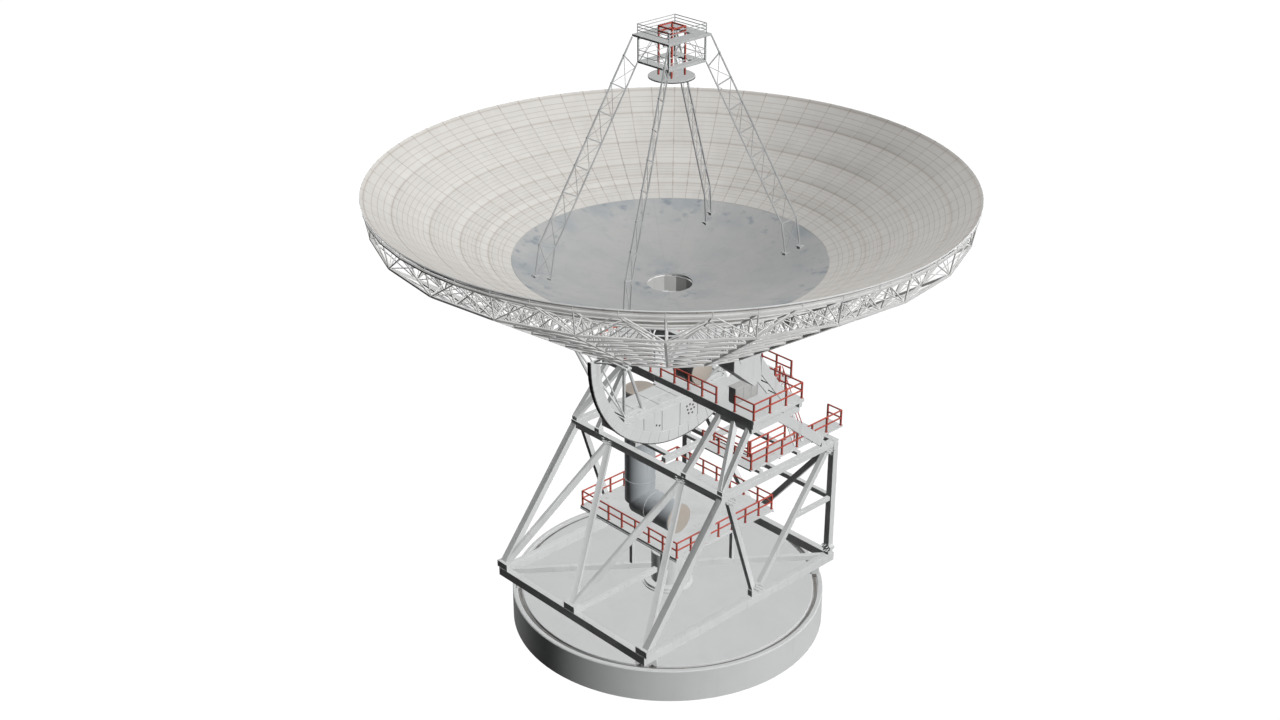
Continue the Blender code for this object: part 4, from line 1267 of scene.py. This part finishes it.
# %% waveguide
TUBE_X = -2.47
TUBE_R = 0.97
TUBE_LOW = 6.8
upright = tube((TUBE_X, 0, TUBE_LOW), (TUBE_X, 0, 14.3), TUBE_R - 0.03, 48)
level = tube((TUBE_X, 0, TUBE_LOW), (0.9, 0, TUBE_LOW), TUBE_R - 0.034, 48)
duct = [upright, level]
for z in (8.3, 10.4, 12.5, 14.26):
    duct.append(tube((TUBE_X, 0, z - 0.04), (TUBE_X, 0, z + 0.04), TUBE_R, 48, 0.01))
for x in (-1.2, 0.86):
    duct.append(tube((x - 0.04, 0, TUBE_LOW), (x + 0.04, 0, TUBE_LOW), TUBE_R - 0.004, 48, 0.01))
duct = smooth(dress(join("waveguide_duct", duct), DUCT_TINT_AND_SHADE), 35)
fit(duct, "alidade", "white_paint", "waveguide_tube")
for name, start, end, radius in (("level_mirror", (0.901, 0, TUBE_LOW), (0.95, 0, TUBE_LOW), 0.95),
                                 ("top_mirror", (TUBE_X, -0.02, 14.301), (TUBE_X, -0.02, 14.39), 0.95)):
    plate = tube(start, end, radius, 48, 0.012)
    fit(smooth(dress(plate, MIRROR)), "alidade", "mirror_plate", name)
    plate.name = name + "_plate"

# %% [markdown]
# On the top deck stand the drum of the elevation drive, two cabinets, and the white brackets that
# hold the elevation bearings.

# %% deck machinery
DRUM_Y, DRUM_Z = 1.42, 16.38
drum = [tube((-0.28, DRUM_Y, DRUM_Z), (1.28, DRUM_Y, DRUM_Z), 0.84, 48, 0.02)]
for x in (-0.26, 0.5, 1.24):
    drum.append(tube((x - 0.03, DRUM_Y, DRUM_Z), (x + 0.03, DRUM_Y, DRUM_Z), 0.86, 48, 0.01))
# The drum's grey paint is drawn near black all round: painted shade for its shaded side. Its +X end face
# takes the beige plate finish.
drum_body = smooth(dress(join("drive_drum", drum), DARK_STEEL_AND_SHADE, MIRROR))
for face in drum_body.data.polygons:
    if face.normal.x > 0.95 and face.center.x > 1.2:
        face.material_index = 1
fit(drum_body, "alidade", "grey_paint", "beam_drum")


def cabinet(side):
    near, far = sorted((side * 3.84, side * 4.43))
    low, high = DECK_Z + 0.001, DECK_Z + 1.05
    parts = [block((near + 0.02, 0.97, low + 0.08), (far - 0.02, 2.85, high - 0.04), 0.015),
             block((near, 0.95, high - 0.05), (far, 2.87, high), 0.015),
             block((near + 0.05, 1.0, low), (far - 0.05, 2.82, low + 0.1), 0.01)]
    for y in (0.99, 1.62, 2.25):
        door = sorted((side * 4.405, side * 4.425))
        parts += [block((door[0], y, low + 0.12), (door[1], y + 0.58, high - 0.08), 0.006),
                  block((door[0], y + 0.5, low + 0.5), (door[1] + 0.012, y + 0.53, low + 0.66), 0.004)]
    return parts


def bracket(side):
    low, high = sorted((side * 4.62, side * 5.9))
    seat = DECK_Z + 0.001 - AXIS_Z

    def about(outline):
        return [(y, AXIS_Z + z) for y, z in outline]

    head = [(-0.75, -0.62), (0.97, -2.1), (1.5, -1.6), (1.35, -0.1), (0.75, 0.6), (-0.75, 0.6)]
    body = plate_yz(about(head), low + 0.02, high - 0.02, 0.02)
    bore = tube((side * 4, 0, AXIS_Z), (side * 6.5, 0, AXIS_Z), 0.36, 32)
    cutter = body.modifiers.new("bore", "BOOLEAN")
    cutter.operation = "DIFFERENCE"
    cutter.solver = "EXACT"
    cutter.object = bore
    take(body)
    bpy.ops.object.modifier_apply(modifier=cutter.name)
    bpy.data.objects.remove(bore)
    parts = [body]
    leg_line = [(1.46, -1.5), (3.32, seat), (3.93, seat), (1.42, -0.35)]
    for x in (low + 0.06, high - 0.06):
        parts.append(plate_yz(about(leg_line), x - 0.05, x + 0.05, 0.01))
    top, foot = Vector((0, 1.44, AXIS_Z - 0.9)), Vector((0, 3.62, AXIS_Z + seat))
    for share in (0.3, 0.62, 0.92):
        _, y, z = top.lerp(foot, share)
        parts.append(block((low + 0.06, y - 0.08, z - 0.05), (high - 0.06, y + 0.08, z + 0.05)))
    eave = [(-0.75, 0.56), (0.75, 0.56), (0.75, 0.6), (-0.75, 0.6)]
    parts.append(plate_yz(about(eave), low, high, 0.008))
    return parts


for side, name in ((-1, "left"), (1, "right")):
    box = dress(join("cabinet_" + name, cabinet(side)), GREY)
    fit(box, "alidade", "grey_paint", "deck_cabinet_" + name)
    holder = dress(join("bearing_bracket_" + name, bracket(side)), WHITE)
    fit(holder, "alidade", "white_paint", "bearing_" + name)
for form in (BOX_BAR, PIPE, FINE_PIPE):
    bpy.data.objects.remove(form)
